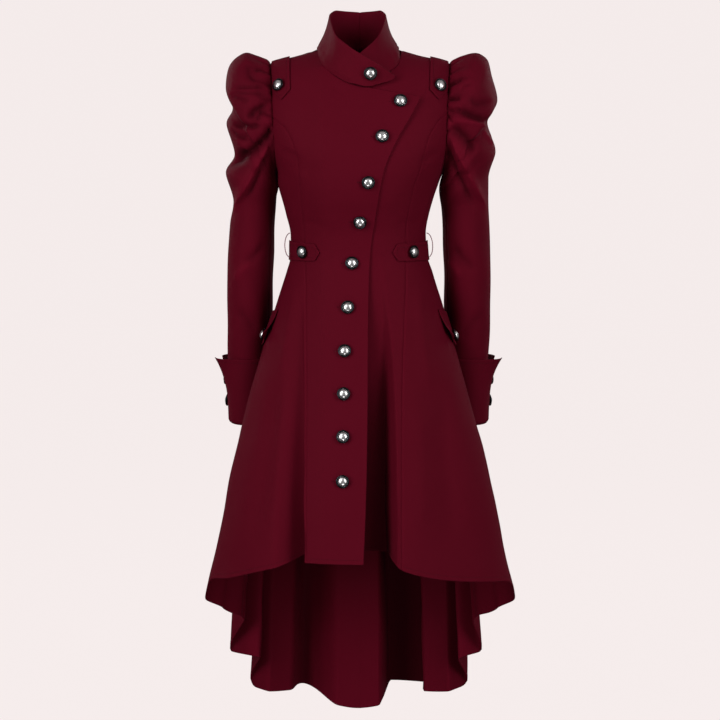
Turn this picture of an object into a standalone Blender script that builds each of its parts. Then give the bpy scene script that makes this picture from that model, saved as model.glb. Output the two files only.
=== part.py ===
"""Long high-low coat with gathered sleeve heads, a slanting buttoned front and a crossed stand collar.

Metres, +Z up. The front faces -Y and the wearer's left is +X. The origin is the centre of the neck base,
where the wearer's shoulders hold the coat. Angles run round the body from +X: the front is at -90 degrees
and the back at +90.
"""

import math
from collections import namedtuple

import bmesh
import bpy
import numpy as np
from mathutils import Matrix, Vector

# Driving dimensions
CLOTH = 0.002
SEAM_GAP = 0.0003
OVERLAP_LIFT = 0.0032
LAPEL_CURL = 0.004
OVERLAY_GAP = 0.001
HIP = -0.45
CHEST = -0.25
UNDERARM = -0.215
SHOULDER_POINT = -0.0240
NECK_SIDE = 0.002
BUTTON_RADIUS = 0.0118
TAB_HALF_WIDTH = 0.0175
RIGHT, LEFT = -1, 1

# Horizontal sections of the body, from the neck to below the hem
Section = namedtuple("Section", "height middle half_width front back squareness")
SECTIONS = [
    Section(0.012, -0.0040, 0.062, 0.030, 0.054, 1.8),
    Section(0.002, -0.0040, 0.074, 0.036, 0.062, 1.8),
    Section(-0.0085, -0.0020, 0.104, 0.046, 0.074, 1.8),
    Section(-0.0240, 0.0000, 0.1630, 0.060, 0.086, 1.85),
    Section(-0.035, 0.0000, 0.1675, 0.072, 0.093, 2.05),
    Section(-0.070, 0.0000, 0.1720, 0.093, 0.103, 2.4),
    Section(-0.120, 0.0000, 0.1750, 0.114, 0.110, 2.65),
    Section(-0.170, 0.0000, 0.1670, 0.129, 0.110, 2.55),
    Section(-0.200, 0.0000, 0.1570, 0.133, 0.108, 2.4),
    Section(-0.215, 0.0000, 0.1520, 0.133, 0.107, 2.3),
    Section(-0.240, -0.0035, 0.1465, 0.130, 0.104, 2.2),
    Section(-0.265, -0.0045, 0.1390, 0.124, 0.101, 2.15),
    Section(-0.295, -0.0045, 0.1310, 0.113, 0.096, 2.15),
    Section(-0.335, -0.0030, 0.1240, 0.102, 0.091, 2.15),
    Section(-0.370, -0.0018, 0.1250, 0.099, 0.092, 2.15),
    Section(-0.402, -0.0010, 0.1340, 0.104, 0.099, 2.1),
    Section(-0.447, -0.0010, 0.1490, 0.116, 0.115, 2.05),
    Section(-0.537, -0.0012, 0.1780, 0.140, 0.143, 2.0),
    Section(-0.621, -0.0015, 0.2030, 0.158, 0.165, 2.0),
    Section(-0.753, -0.0015, 0.2380, 0.183, 0.195, 2.0),
    Section(-0.905, -0.0010, 0.2680, 0.209, 0.224, 2.0),
    Section(-1.020, 0.0000, 0.2935, 0.226, 0.243, 2.0),
    Section(-1.320, 0.0000, 0.3150, 0.250, 0.280, 2.0),
]

# Flutes of the skirt: how far the cloth stands out (+) or in (-) at each angle, and where that begins and ends
Flute = namedtuple("Flute", "angle stand_out start full")
FLUTES = [
    Flute(-180.0, -0.003, -0.40, -0.62),
    Flute(-158.0, 0.004, -0.45, -1.00),
    Flute(-135.0, 0.010, -0.45, -0.95),
    Flute(-111.5, 0.006, -0.45, -0.92),
    Flute(-89.0, 0.001, -0.45, -0.92),
    Flute(-76.5, 0.008, -0.45, -0.92),
    Flute(-50.0, -0.004, -0.45, -0.95),
    Flute(-22.0, 0.006, -0.45, -0.95),
    Flute(0.0, -0.003, -0.40, -0.62),
    Flute(12.0, -0.026, -0.40, -0.62),
    Flute(26.0, -0.042, -0.40, -0.62),
    Flute(34.0, -0.034, -0.44, -0.80),
    Flute(40.5, 0.010, -0.48, -1.12),
    Flute(46.0, -0.026, -0.48, -1.15),
    Flute(52.0, 0.030, -0.48, -1.20),
    Flute(60.0, -0.006, -0.48, -1.15),
    Flute(64.5, -0.010, -0.48, -1.10),
    Flute(68.0, 0.044, -0.48, -1.10),
    Flute(78.0, 0.044, -0.48, -1.10),
    Flute(82.0, -0.042, -0.48, -1.10),
    Flute(99.0, -0.040, -0.48, -1.10),
    Flute(110.5, 0.032, -0.48, -1.12),
    Flute(119.0, -0.012, -0.48, -1.20),
    Flute(129.0, 0.031, -0.48, -1.20),
    Flute(135.5, -0.026, -0.48, -1.15),
    Flute(142.0, 0.024, -0.48, -1.12),
    Flute(148.5, -0.034, -0.44, -0.80),
    Flute(155.0, -0.042, -0.40, -0.62),
    Flute(168.0, -0.026, -0.40, -0.62),
    Flute(180.0, -0.003, -0.40, -0.62),
]

# The high-low hem, round the body
Hem = namedtuple("Hem", "angle height")
HEM = [
    Hem(-180.0, -1.018),
    Hem(-163.0, -0.963),
    Hem(-147.0, -0.947),
    Hem(-135.0, -0.930),
    Hem(-125.5, -0.917),
    Hem(-118.0, -0.908),
    Hem(-111.5, -0.900),
    Hem(-89.0, -0.901),
    Hem(-78.0, -0.9015),
    Hem(-73.0, -0.914),
    Hem(-65.0, -0.927),
    Hem(-56.5, -0.937),
    Hem(-47.0, -0.945),
    Hem(-35.0, -0.953),
    Hem(-20.0, -0.964),
    Hem(0.0, -1.018),
    Hem(18.0, -1.060),
    Hem(34.0, -1.090),
    Hem(40.5, -1.172),
    Hem(46.0, -1.185),
    Hem(51.5, -1.262),
    Hem(60.0, -1.270),
    Hem(67.0, -1.272),
    Hem(79.4, -1.274),
    Hem(82.0, -1.302),
    Hem(91.0, -1.308),
    Hem(98.5, -1.302),
    Hem(110.5, -1.272),
    Hem(120.0, -1.270),
    Hem(129.5, -1.262),
    Hem(135.5, -1.180),
    Hem(141.5, -1.172),
    Hem(148.0, -1.090),
    Hem(162.0, -1.060),
    Hem(180.0, -1.018),
]

# Lines drawn in the front view: the place across the body at each height
Across = namedtuple("Across", "height x")
ARMHOLE = [
    Across(-0.0240, 0.1630),
    Across(-0.0726, 0.1585),
    Across(-0.110, 0.1572),
    Across(-0.162, 0.1545),
    Across(-0.215, 0.1520),
]
FRONT_SEAM = {
    RIGHT: [
        Across(-0.122, 0.1568),
        Across(-0.141, 0.1330),
        Across(-0.171, 0.1180),
        Across(-0.215, 0.1080),
        Across(-0.250, 0.1060),
        Across(-0.347, 0.0995),
        Across(-0.500, 0.0962),
        Across(-0.750, 0.0942),
        Across(-1.000, 0.0930),
    ],
    LEFT: [
        Across(-0.112, 0.1571),
        Across(-0.127, 0.1410),
        Across(-0.159, 0.1217),
        Across(-0.210, 0.1080),
        Across(-0.250, 0.0950),
        Across(-0.330, 0.0822),
        Across(-0.377, 0.0830),
        Across(-0.500, 0.0787),
        Across(-0.640, 0.0740),
        Across(-0.770, 0.0730),
        Across(-1.000, 0.0720),
    ],
}
BACK_SEAM = [
    Across(-0.115, 0.1570),
    Across(-0.135, 0.1380),
    Across(-0.170, 0.1180),
    Across(-0.215, 0.1050),
    Across(-0.250, 0.0980),
    Across(-0.300, 0.0870),
    Across(-0.375, 0.0800),
    Across(-0.500, 0.0980),
    Across(-0.700, 0.1310),
    Across(-1.000, 0.1680),
    Across(-1.320, 0.1900),
]
OVERLAP_EDGE = [
    Across(-0.0892, 0.1049),
    Across(-0.1185, 0.0896),
    Across(-0.1510, 0.0701),
    Across(-0.1830, 0.0537),
    Across(-0.2090, 0.0430),
    Across(-0.2378, 0.0359),
    Across(-0.2703, 0.0306),
    Across(-0.3059, 0.0251),
    Across(-0.3430, 0.0194),
    Across(-0.4000, 0.0155),
    Across(-0.4610, 0.0138),
    Across(-0.5310, 0.0131),
    Across(-0.6200, 0.0126),
    Across(-0.7430, 0.0110),
    Across(-0.8100, 0.0092),
    Across(-0.8670, 0.0068),
    Across(-1.0000, 0.0000),
]
UNDERLAP_EDGE = [
    Across(-0.074, -0.034),
    Across(-0.250, -0.030),
    Across(-0.380, -0.045),
    Across(-1.000, -0.052),
]
NECKLINE = [
    Across(0.002, 0.0780),
    Across(-0.025, 0.0690),
    Across(-0.041, 0.0530),
    Across(-0.053, 0.0354),
    Across(-0.064, 0.0141),
    Across(-0.0707, -0.0106),
    Across(-0.0740, -0.0340),
]
LAPEL_NECK = (0.0106, -0.0707)
LAPEL_TIP = (0.1049, -0.0892)

# Folds that run down beside an edge: how deep and wide they are at each height
Tuck = namedtuple("Tuck", "height depth width")
FRONT_TUCK = [
    Tuck(-0.360, 0.000, 0.022),
    Tuck(-0.440, 0.005, 0.034),
    Tuck(-0.530, 0.020, 0.045),
    Tuck(-0.620, 0.040, 0.050),
    Tuck(-0.745, 0.054, 0.054),
    Tuck(-0.900, 0.064, 0.060),
    Tuck(-1.000, 0.066, 0.065),
]
SIDE_TUCK = [
    Tuck(-0.450, 0.000, 0.030),
    Tuck(-0.600, 0.010, 0.036),
    Tuck(-0.750, 0.026, 0.044),
    Tuck(-0.900, 0.044, 0.052),
    Tuck(-1.000, 0.050, 0.056),
]
TUCK_START = 0.014
TUCK_WALL = 0.011
SIDE_TUCK_START = 0.003
SIDE_TUCK_WALL = 0.006
TUCK_RISE = 0.32

# Sections of the stand collar, from the centre back round to the front end
CollarSection = namedtuple("CollarSection", "side lower_x lower_z upper_x upper_y upper_z")
COLLAR = [
    CollarSection("back", 0.0000, 0.0050, 0.0000, 0.0420, 0.0690),
    CollarSection("back", 0.0310, 0.0050, 0.0220, 0.0405, 0.0705),
    CollarSection("back", 0.0570, 0.0045, 0.0410, 0.0300, 0.0715),
    CollarSection("back", 0.0775, 0.0022, 0.0535, 0.0020, 0.0600),
    CollarSection("front", 0.0690, -0.0250, 0.0490, -0.0360, 0.0420),
    CollarSection("front", 0.0530, -0.0410, 0.0388, -0.0640, 0.0200),
    CollarSection("front", 0.0354, -0.0530, 0.0176, -0.0830, 0.0010),
    CollarSection("front", 0.0141, -0.0640, 0.0000, -0.0920, -0.0114),
    CollarSection("front", -0.0106, -0.0707, -0.0265, -0.0960, -0.0270),
    CollarSection("front", -0.0360, -0.0645, -0.0440, -0.0910, -0.0390),
    CollarSection("front", -0.0565, -0.0590, -0.0590, -0.0835, -0.0500),
]
COLLAR_UNDER_SECTIONS = 8
COLLAR_BOW = -0.004
COLLAR_GAP = 0.0026
COLLAR_RISE = 0.0034
COLLAR_LEAN = {RIGHT: 1.0, LEFT: 0.84}
COLLAR_BASE_SHIFT = {RIGHT: 0.0, LEFT: 0.10}
COLLAR_OVER_LIFT = 0.006
COLLAR_UNDER_LIFT = -0.004

# Rings of the sleeves: the outer and inner end of each ring in the front view, its half depth and its middle
SleeveRing = namedtuple("SleeveRing", "outer_x outer_z inner_x inner_z depth middle_y")
SLEEVE_RINGS = {
    RIGHT: [
        SleeveRing(0.1634, -0.0240, 0.1524, -0.2150, 0.072, 0.002),
        SleeveRing(0.1720, -0.0180, 0.1527, -0.2185, 0.079, 0.004),
        SleeveRing(0.1877, -0.0100, 0.1524, -0.2220, 0.086, 0.006),
        SleeveRing(0.2059, -0.0040, 0.1522, -0.2255, 0.091, 0.008),
        SleeveRing(0.2260, -0.0140, 0.1520, -0.2290, 0.094, 0.010),
        SleeveRing(0.2395, -0.0340, 0.1518, -0.2325, 0.094, 0.012),
        SleeveRing(0.2447, -0.0670, 0.1515, -0.2365, 0.091, 0.013),
        SleeveRing(0.2323, -0.1035, 0.1512, -0.2410, 0.084, 0.014),
        SleeveRing(0.2435, -0.1325, 0.1512, -0.2460, 0.084, 0.015),
        SleeveRing(0.2294, -0.1870, 0.1520, -0.2525, 0.075, 0.018),
        SleeveRing(0.2462, -0.2217, 0.1538, -0.2640, 0.073, 0.021),
        SleeveRing(0.2338, -0.2748, 0.1556, -0.2870, 0.062, 0.026),
        SleeveRing(0.2400, -0.3152, 0.1580, -0.3220, 0.060, 0.031),
        SleeveRing(0.2459, -0.3816, 0.1610, -0.3860, 0.057, 0.040),
        SleeveRing(0.2488, -0.4930, 0.1645, -0.4940, 0.052, 0.058),
        SleeveRing(0.2494, -0.5750, 0.1690, -0.5750, 0.048, 0.074),
        SleeveRing(0.2478, -0.6400, 0.1790, -0.6400, 0.046, 0.081),
        SleeveRing(0.2465, -0.6940, 0.1850, -0.6940, 0.044, 0.085),
    ],
    LEFT: [
        SleeveRing(0.1634, -0.0240, 0.1524, -0.2150, 0.072, 0.002),
        SleeveRing(0.1720, -0.0180, 0.1522, -0.2185, 0.079, 0.004),
        SleeveRing(0.1877, -0.0100, 0.1518, -0.2220, 0.086, 0.006),
        SleeveRing(0.2095, -0.0055, 0.1514, -0.2255, 0.091, 0.008),
        SleeveRing(0.2315, -0.0169, 0.1510, -0.2290, 0.094, 0.010),
        SleeveRing(0.2409, -0.0457, 0.1506, -0.2325, 0.094, 0.012),
        SleeveRing(0.2504, -0.0890, 0.1500, -0.2365, 0.091, 0.013),
        SleeveRing(0.2330, -0.1288, 0.1494, -0.2410, 0.084, 0.014),
        SleeveRing(0.2400, -0.1550, 0.1488, -0.2460, 0.084, 0.015),
        SleeveRing(0.2477, -0.1834, 0.1482, -0.2525, 0.075, 0.018),
        SleeveRing(0.2355, -0.2308, 0.1486, -0.2640, 0.073, 0.021),
        SleeveRing(0.2362, -0.2748, 0.1505, -0.2870, 0.062, 0.026),
        SleeveRing(0.2385, -0.3152, 0.1530, -0.3220, 0.060, 0.031),
        SleeveRing(0.2420, -0.3816, 0.1555, -0.3860, 0.057, 0.040),
        SleeveRing(0.2445, -0.4930, 0.1580, -0.4940, 0.052, 0.058),
        SleeveRing(0.2430, -0.5750, 0.1640, -0.5750, 0.048, 0.074),
        SleeveRing(0.2420, -0.6400, 0.1770, -0.6400, 0.046, 0.081),
        SleeveRing(0.2412, -0.6940, 0.1840, -0.6940, 0.044, 0.085),
    ],
}
SLEEVE_ROWS = [0, 0.5, 1.3, 2.4, 3.6, 5, 6, 7, 8, 9, 10, 11, 12.5, 14, 15, 16, 17]
SLEEVE_FADE = 3.0
TOP_SLEEVE = (-140.0, 150.0)
UNDER_SLEEVE = (150.0, 220.0)
SLEEVE_SEAM_GAP = 1.2
GATHERS = 17
Gather = namedtuple("Gather", "ring height")
GATHER_HEIGHTS = [
    Gather(0.0, 0.0),
    Gather(0.5, 0.0030),
    Gather(1.3, 0.0046),
    Gather(2.4, 0.0028),
    Gather(3.6, 0.0010),
    Gather(5.0, 0.0),
    Gather(17.0, 0.0),
]

# Turned-back cuffs
CUFF_TOP_RING = 14.9
CUFF_BOTTOM_RING = 16.95
CUFF_GAP = 0.0020
CUFF_SLIT = 9.0
CUFF_FLARE_FRONT = 0.021
CUFF_FLARE_BACK = 0.009
CUFF_FLARE_SPREAD = 38.0

# Where the buttons sit in the front view
ButtonPlace = namedtuple("ButtonPlace", "x z")
FRONT_BUTTONS = [
    ButtonPlace(0.0700, -0.0965),
    ButtonPlace(0.0384, -0.1570),
    ButtonPlace(0.0140, -0.2352),
    ButtonPlace(0.0000, -0.3050),
    ButtonPlace(-0.0141, -0.3800),
    ButtonPlace(-0.0212, -0.4575),
    ButtonPlace(-0.0266, -0.5330),
    ButtonPlace(-0.0285, -0.6070),
    ButtonPlace(-0.0294, -0.6810),
    ButtonPlace(-0.0300, -0.7580),
]

# Colours from the cloth and the metal: red, green, blue, roughness, metallic
Finish = namedtuple("Finish", "red green blue roughness metallic")
FINISHES = {
    "coat_cloth": Finish(0.078, 0.006, 0.014, 0.75, 0.0),
    "button_metal": Finish(0.45, 0.46, 0.48, 0.3, 1.0),
    "loop_thread": Finish(0.16, 0.02, 0.035, 0.8, 0.0),
}


# Numbers and curves

def smoothstep(value):
    value = np.clip(value, 0.0, 1.0)
    return value * value * (3.0 - 2.0 * value)


def smooth_curve(keys, values):
    """A curve through the values that never overshoots them."""
    order = np.argsort(keys)
    keys = np.asarray(keys, float)[order]
    values = np.asarray(values, float)[order]
    steps = np.diff(keys)
    slopes = np.diff(values) / steps
    tangents = np.concatenate([slopes[:1], np.zeros(len(slopes) - 1), slopes[-1:]])
    rising = slopes[:-1] * slopes[1:] > 0
    both = np.where(rising, slopes[:-1] + slopes[1:], 1.0)
    tangents[1:-1] = np.where(rising, 2.0 * slopes[:-1] * slopes[1:] / both, 0.0)

    def at(key):
        key = np.clip(key, keys[0], keys[-1])
        i = np.clip(np.searchsorted(keys, key) - 1, 0, len(steps) - 1)
        u = (key - keys[i]) / steps[i]
        start = (1.0 + 2.0 * u) * (1.0 - u) ** 2 * values[i] + u * (1.0 - u) ** 2 * steps[i] * tangents[i]
        end = u * u * (3.0 - 2.0 * u) * values[i + 1] + u * u * (u - 1.0) * steps[i] * tangents[i + 1]
        return start + end

    return at


def across_curve(rows):
    return smooth_curve([row.height for row in rows], [row.x for row in rows])


section = {
    name: smooth_curve([row.height for row in SECTIONS], [getattr(row, name) for row in SECTIONS])
    for name in Section._fields[1:]
}
hem_height = smooth_curve([row.angle for row in HEM], [row.height for row in HEM])
armhole_x = across_curve(ARMHOLE)
front_seam_x = {side: across_curve(rows) for side, rows in FRONT_SEAM.items()}
back_seam_x = across_curve(BACK_SEAM)
overlap_x = across_curve(OVERLAP_EDGE)
underlap_x = across_curve(UNDERLAP_EDGE)
tuck_curve = {
    (name, size): smooth_curve([row.height for row in rows], [getattr(row, size) for row in rows])
    for name, rows in (("front", FRONT_TUCK), ("side", SIDE_TUCK))
    for size in ("depth", "width")
}


# The body's surface

def flute_stand_out(angle, height):
    """How far the flutes move the cloth out at an angle in degrees and a height."""
    angle = (np.asarray(angle, float) + 180.0) % 360.0 - 180.0
    angles = np.array([row.angle for row in FLUTES])
    i = np.clip(np.searchsorted(angles, angle, side="right") - 1, 0, len(FLUTES) - 2)
    amounts = np.array([row.stand_out for row in FLUTES])
    starts = np.array([row.start for row in FLUTES])
    fulls = np.array([row.full for row in FLUTES])

    def grown(k):
        return amounts[k] * smoothstep((starts[k] - height) / (starts[k] - fulls[k]))

    u = (angle - angles[i]) / (angles[i + 1] - angles[i])
    blend = 0.5 - 0.5 * np.cos(math.pi * u)
    return grown(i) * (1.0 - blend) + grown(i + 1) * blend


def body_point(angle, height):
    """A point of the cloth's outer face."""
    half_width = section["half_width"](height)
    squareness = section["squareness"](height)
    c = np.cos(np.radians(angle))
    s = np.sin(np.radians(angle))
    depth = np.where(s < 0, section["front"](height), section["back"](height))
    x = half_width * np.sign(c) * np.abs(c) ** (2.0 / squareness)
    y = depth * np.sign(s) * np.abs(s) ** (2.0 / squareness)
    out_x = np.sign(c) * np.abs(x / half_width) ** (squareness - 1.0) / half_width
    out_y = np.sign(s) * np.abs(y / depth) ** (squareness - 1.0) / depth
    stand_out = flute_stand_out(angle, height) / np.hypot(out_x, out_y)
    x = x + section["middle"](height) + out_x * stand_out
    return np.stack([x, y + out_y * stand_out, height + 0.0 * x], axis=-1)


def normal_of(surface, u, v, du, dv):
    """Unit normal of a surface from points a little either side."""
    along_u = surface(u + du, v) - surface(u - du, v)
    along_v = surface(u, v + dv) - surface(u, v - dv)
    normal = np.cross(along_u, along_v)
    return normal / np.linalg.norm(normal, axis=-1, keepdims=True)


def body_normal(angle, height):
    return normal_of(body_point, angle, height, 0.5, 0.001)


def body_out(angle, height, out):
    return body_point(angle, height) + np.asarray(out)[..., None] * body_normal(angle, height)


def angle_at(x, height, back=False):
    """The angle at which the plain section is x across."""
    across = (x - section["middle"](height)) / section["half_width"](height)
    share = np.clip(np.abs(across), 0.0, 1.0) ** (section["squareness"](height) / 2.0)
    turn = np.degrees(np.arccos(np.sign(across) * share))
    return turn if back else -turn


def plain_x(angle, height):
    """How far across the plain section is at an angle."""
    c = np.cos(np.radians(angle))
    share = np.sign(c) * np.abs(c) ** (2.0 / section["squareness"](height))
    return section["middle"](height) + section["half_width"](height) * share


def front_tuck(x, height):
    """The left front's deep fold beside the edge that laps over it."""
    past = x - overlap_x(height)
    width = tuck_curve["front", "width"](height)
    share = smoothstep((past + TUCK_START) / TUCK_WALL) * smoothstep((width - past) / TUCK_WALL)
    return -tuck_curve["front", "depth"](height) * share


def side_tuck(x, height):
    """The right side front's fold, which goes in behind the edge of the right front."""
    past = -x - front_seam_x[RIGHT](height) - SIDE_TUCK_START
    width = tuck_curve["side", "width"](height)
    share = smoothstep(past / SIDE_TUCK_WALL) * (1.0 - smoothstep((past - SIDE_TUCK_WALL) / width))
    return -tuck_curve["side", "depth"](height) * share


def shoulder_x(side, height):
    """How far across the body reaches at a height, on one side."""
    return section["middle"](height) + side * section["half_width"](height)


# Meshes

def material(slot):
    found = bpy.data.materials.get(slot)
    if found:
        return found
    finish = FINISHES[slot]
    found = bpy.data.materials.new(slot)
    found.use_nodes = True
    shader = found.node_tree.nodes["Principled BSDF"]
    shader.inputs["Base Color"].default_value = (finish.red, finish.green, finish.blue, 1.0)
    shader.inputs["Roughness"].default_value = finish.roughness
    shader.inputs["Metallic"].default_value = finish.metallic
    return found


def add_object(name, bm, slot, sharp_angle=40.0):
    bmesh.ops.recalc_face_normals(bm, faces=bm.faces)
    mesh = bpy.data.meshes.new(name)
    bm.to_mesh(mesh)
    bm.free()
    mesh.shade_smooth()
    mesh.set_sharp_from_angle(angle=math.radians(sharp_angle))
    mesh.materials.append(material(slot))
    obj = bpy.data.objects.new(name, mesh)
    bpy.context.scene.collection.objects.link(obj)
    return obj


def shell(name, outer, inner, slot="coat_cloth"):
    """A closed wall between two grids of points of the same size."""
    rows, columns = outer.shape[:2]
    bm = bmesh.new()
    outside = [[bm.verts.new(outer[i, j]) for j in range(columns)] for i in range(rows)]
    inside = [[bm.verts.new(inner[i, j]) for j in range(columns)] for i in range(rows)]
    for i in range(rows - 1):
        for j in range(columns - 1):
            a, b, c, d = (i, j), (i, j + 1), (i + 1, j + 1), (i + 1, j)
            short = np.linalg.norm(outer[a] - outer[c]) < np.linalg.norm(outer[b] - outer[d])
            for corners in ((a, b, c), (a, c, d)) if short else ((a, b, d), (b, c, d)):
                bm.faces.new([outside[m][n] for m, n in corners])
                bm.faces.new([inside[m][n] for m, n in reversed(corners)])
    rim = [(0, j) for j in range(columns)]
    rim += [(i, columns - 1) for i in range(1, rows)]
    rim += [(rows - 1, j) for j in range(columns - 2, -1, -1)]
    rim += [(i, 0) for i in range(rows - 2, 0, -1)]
    for place, following in zip(rim, rim[1:] + rim[:1]):
        (a, b), (c, d) = sorted((place, following))
        bm.faces.new((outside[a][b], outside[c][d], inside[c][d]))
        bm.faces.new((outside[a][b], inside[c][d], inside[a][b]))
    return add_object(name, bm, slot)


def tube(name, path, radius, sides, slot):
    """A round cord along a path, closed at both ends."""
    bm = bmesh.new()
    rings = []
    for place, along in zip(path, np.gradient(path, axis=0)):
        across = np.cross(along, (0.0, 1.0, 0.0))
        across /= np.linalg.norm(across)
        beside = np.cross(along, across)
        beside /= np.linalg.norm(beside)
        turns = 2.0 * math.pi * np.arange(sides) / sides
        ring = place + radius * (np.outer(np.cos(turns), across) + np.outer(np.sin(turns), beside))
        rings.append([bm.verts.new(corner) for corner in ring])
    for low, high in zip(rings, rings[1:]):
        for k in range(sides):
            n = (k + 1) % sides
            bm.faces.new((low[k], low[n], high[n], high[k]))
    bm.faces.new(list(reversed(rings[0])))
    bm.faces.new(rings[-1])
    return add_object(name, bm, slot)


# Body panels

SKIRT_ROWS = [0.0, 0.2, 0.4, 0.6, 0.8]
LEVELS = [HIP, -0.41, -0.375, -0.34, -0.295]
SIDE_UPPER_ROWS = [0.0, 0.25, 0.5, 0.75, 1.0]
MAIN_UPPER_ROWS = [0.0, 0.14, 0.28, 0.42, 0.56, 0.70, 0.83, 0.92, 0.975, 1.0]
SEAM_SHARE = 0.56


def coons(left, right, bottom, top, u, v):
    """A point of the patch between four edges in a plane, each a function of 0 to 1."""
    ruled_u = (1 - u) * left(v) + u * right(v)
    ruled_v = (1 - v) * bottom(u) + v * top(u)
    corners = (1 - u) * ((1 - v) * left(0) + v * left(1)) + u * ((1 - v) * right(0) + v * right(1))
    return ruled_u + ruled_v - corners


def polyline(points):
    """A path through points, run by its share of the length between them."""
    points = np.asarray(points, float)
    lengths = np.concatenate([[0.0], np.cumsum(np.linalg.norm(np.diff(points, axis=0), axis=1))])
    shares = lengths / lengths[-1]
    return lambda share: np.array([np.interp(share, shares, points[:, k]) for k in range(2)])


def line_down(curve, low, high, shift=0.0):
    """The line of a front-view curve between two heights, from low to high."""
    return lambda share: np.array([curve(low + (high - low) * share) + shift, low + (high - low) * share])


def joined(first, second, share):
    """Two paths end to end, the first as far as that share."""
    return lambda v: first(v / share) if v <= share else second((v - share) / (1.0 - share))


def panel_domain(low_left, low_right, patch, columns, upper_rows, hem_of):
    """Places of a panel's grid: rows of the skirt, then the waist, then the patch above the chest."""
    rows = []
    for share in SKIRT_ROWS:
        row = []
        for u in columns:
            bottom = hem_of(low_left(HIP), low_right(HIP), u)
            height = bottom + (HIP - bottom) * share
            row.append((low_left(height) * (1 - u) + low_right(height) * u, height))
        rows.append(row)
    for height in LEVELS:
        rows.append([(low_left(height) * (1 - u) + low_right(height) * u, height) for u in columns])
    for v in upper_rows:
        rows.append([tuple(coons(*patch, u, v)) for u in columns])
    return np.array(rows)


def drawn_up(out):
    """How far a fold of this depth draws the hem up."""
    return TUCK_RISE * np.maximum(-out, 0.0)


def hem_below(back, left_curve, right_curve, lift):
    """The hem's height under a column of a panel drawn in the front or back view."""

    def at(_left, _right, u):
        height = -1.0
        for _ in range(4):
            x = left_curve(height) * (1 - u) + right_curve(height) * u
            height = float(hem_height(angle_at(x, height, back)))
        return height + float(drawn_up(lift(x, height)))

    return at


def cloth_faces(angle, height, lift):
    """Outer and inner points of cloth moved out from the body, its wall square to the folded face."""
    def face(angle, height):
        return body_out(angle, height, lift(plain_x(angle, height), height))

    outer = face(angle, height)
    return outer, outer - CLOTH * normal_of(face, angle, height, 0.25, 0.001)


def shoulder_line(side, low, high):
    """The shoulder seam from one height to another."""
    return lambda share: np.array(
        [shoulder_x(side, low + (high - low) * share), low + (high - low) * share]
    )


def armhole_line(side, low, high):
    return lambda share: np.array(
        [side * armhole_x(low + (high - low) * share), low + (high - low) * share]
    )


def main_panel(name, side, back, inner_edge, seam, top, columns, lift):
    """A centre front or centre back panel: from its inner edge to the long seam and armhole."""
    half_gap = SEAM_GAP / 2

    def outer_edge(height):
        return side * (seam(height) - half_gap)

    seam_top = max(row.height for row in (BACK_SEAM if back else FRONT_SEAM[side]))
    outer = joined(
        line_down(outer_edge, CHEST, seam_top), armhole_line(side, seam_top, SHOULDER_POINT), SEAM_SHARE
    )
    inner_top = top(0)[1]
    inner = line_down(inner_edge, CHEST, inner_top)
    bottom = polyline([inner(0), outer(0)])
    domain = panel_domain(
        inner_edge,
        outer_edge,
        (inner, outer, bottom, top),
        columns,
        MAIN_UPPER_ROWS,
        hem_below(back, inner_edge, outer_edge, lift),
    )
    x, height = domain[..., 0], domain[..., 1]
    faces = cloth_faces(angle_at(x, height, back), height, lift)
    for points in faces:
        y = points[..., 1]
        points[..., 1] = np.maximum(y, half_gap) if back else np.minimum(y, -half_gap)
    shell(name, *faces)


def side_panel(name, side, back, columns, lift):
    """A side front or side back panel, from the long seam round to the side seam."""
    seam_rows = BACK_SEAM if back else FRONT_SEAM[side]
    seam = back_seam_x if back else front_seam_x[side]
    seam_top = seam_rows[0].height
    half_gap = SEAM_GAP / 2
    side_angle = 0.0 if side == LEFT else (180.0 if back else -180.0)
    away = (1 if back else -1) * side

    def seam_angle(height):
        return angle_at(side * (seam(height) + half_gap), height, back)

    def side_seam(height):
        return side_angle + away * np.degrees(half_gap / section["half_width"](height))

    def arm(share):
        height = seam_top + (UNDERARM - seam_top) * share
        plain = angle_at(side * (armhole_x(height) + 0.0 * height), height, back)
        first = seam_angle(seam_top)
        last = side_seam(UNDERARM)
        start = angle_at(side * armhole_x(seam_top), seam_top, back)
        angle = first + (plain - start) * (last - first) / (side_angle - start)
        return np.array([angle, height])

    left = line_down(seam_angle, CHEST, seam_top)
    right = line_down(side_seam, CHEST, UNDERARM)
    bottom = polyline([left(0), right(0)])

    def hem_of(_left, _right, u):
        angle = seam_angle(-0.95) * (1 - u) + side_seam(-0.95) * u
        for _ in range(4):
            height = float(hem_height(angle))
            angle = seam_angle(height) * (1 - u) + side_seam(height) * u
        return float(hem_height(angle)) + float(drawn_up(lift(plain_x(angle, height), height)))

    domain = panel_domain(
        seam_angle, side_seam, (left, right, bottom, arm), columns, SIDE_UPPER_ROWS, hem_of
    )
    shell(name, *cloth_faces(domain[..., 0], domain[..., 1], lift))


def no_lift(x, height):
    return 0.0 * x


def front_lift(x, height):
    """The right front stands clear of the left front it laps over, and its lapel curls out a little."""
    ramp = smoothstep((x + 0.095) / 0.035) * smoothstep((-0.005 - height) / 0.04)
    curl = smoothstep((x - 0.02) / 0.10) * smoothstep((height + 0.30) / 0.10)
    return OVERLAP_LIFT * ramp + LAPEL_CURL * curl


def neck_path(side, first, last):
    """The front neckline between two of its rows, in the front view."""
    return polyline([(side * row.x, row.height) for row in NECKLINE[first:last + 1]])


def three_part(parts, shares):
    """Three paths end to end, run to the given shares."""
    def at(u):
        if u <= shares[0]:
            return parts[0](u / shares[0])
        if u <= shares[1]:
            return parts[1]((u - shares[0]) / (shares[1] - shares[0]))
        return parts[2]((u - shares[1]) / (1.0 - shares[1]))
    return at


def reverse(path):
    return lambda share: path(1.0 - share)


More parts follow.
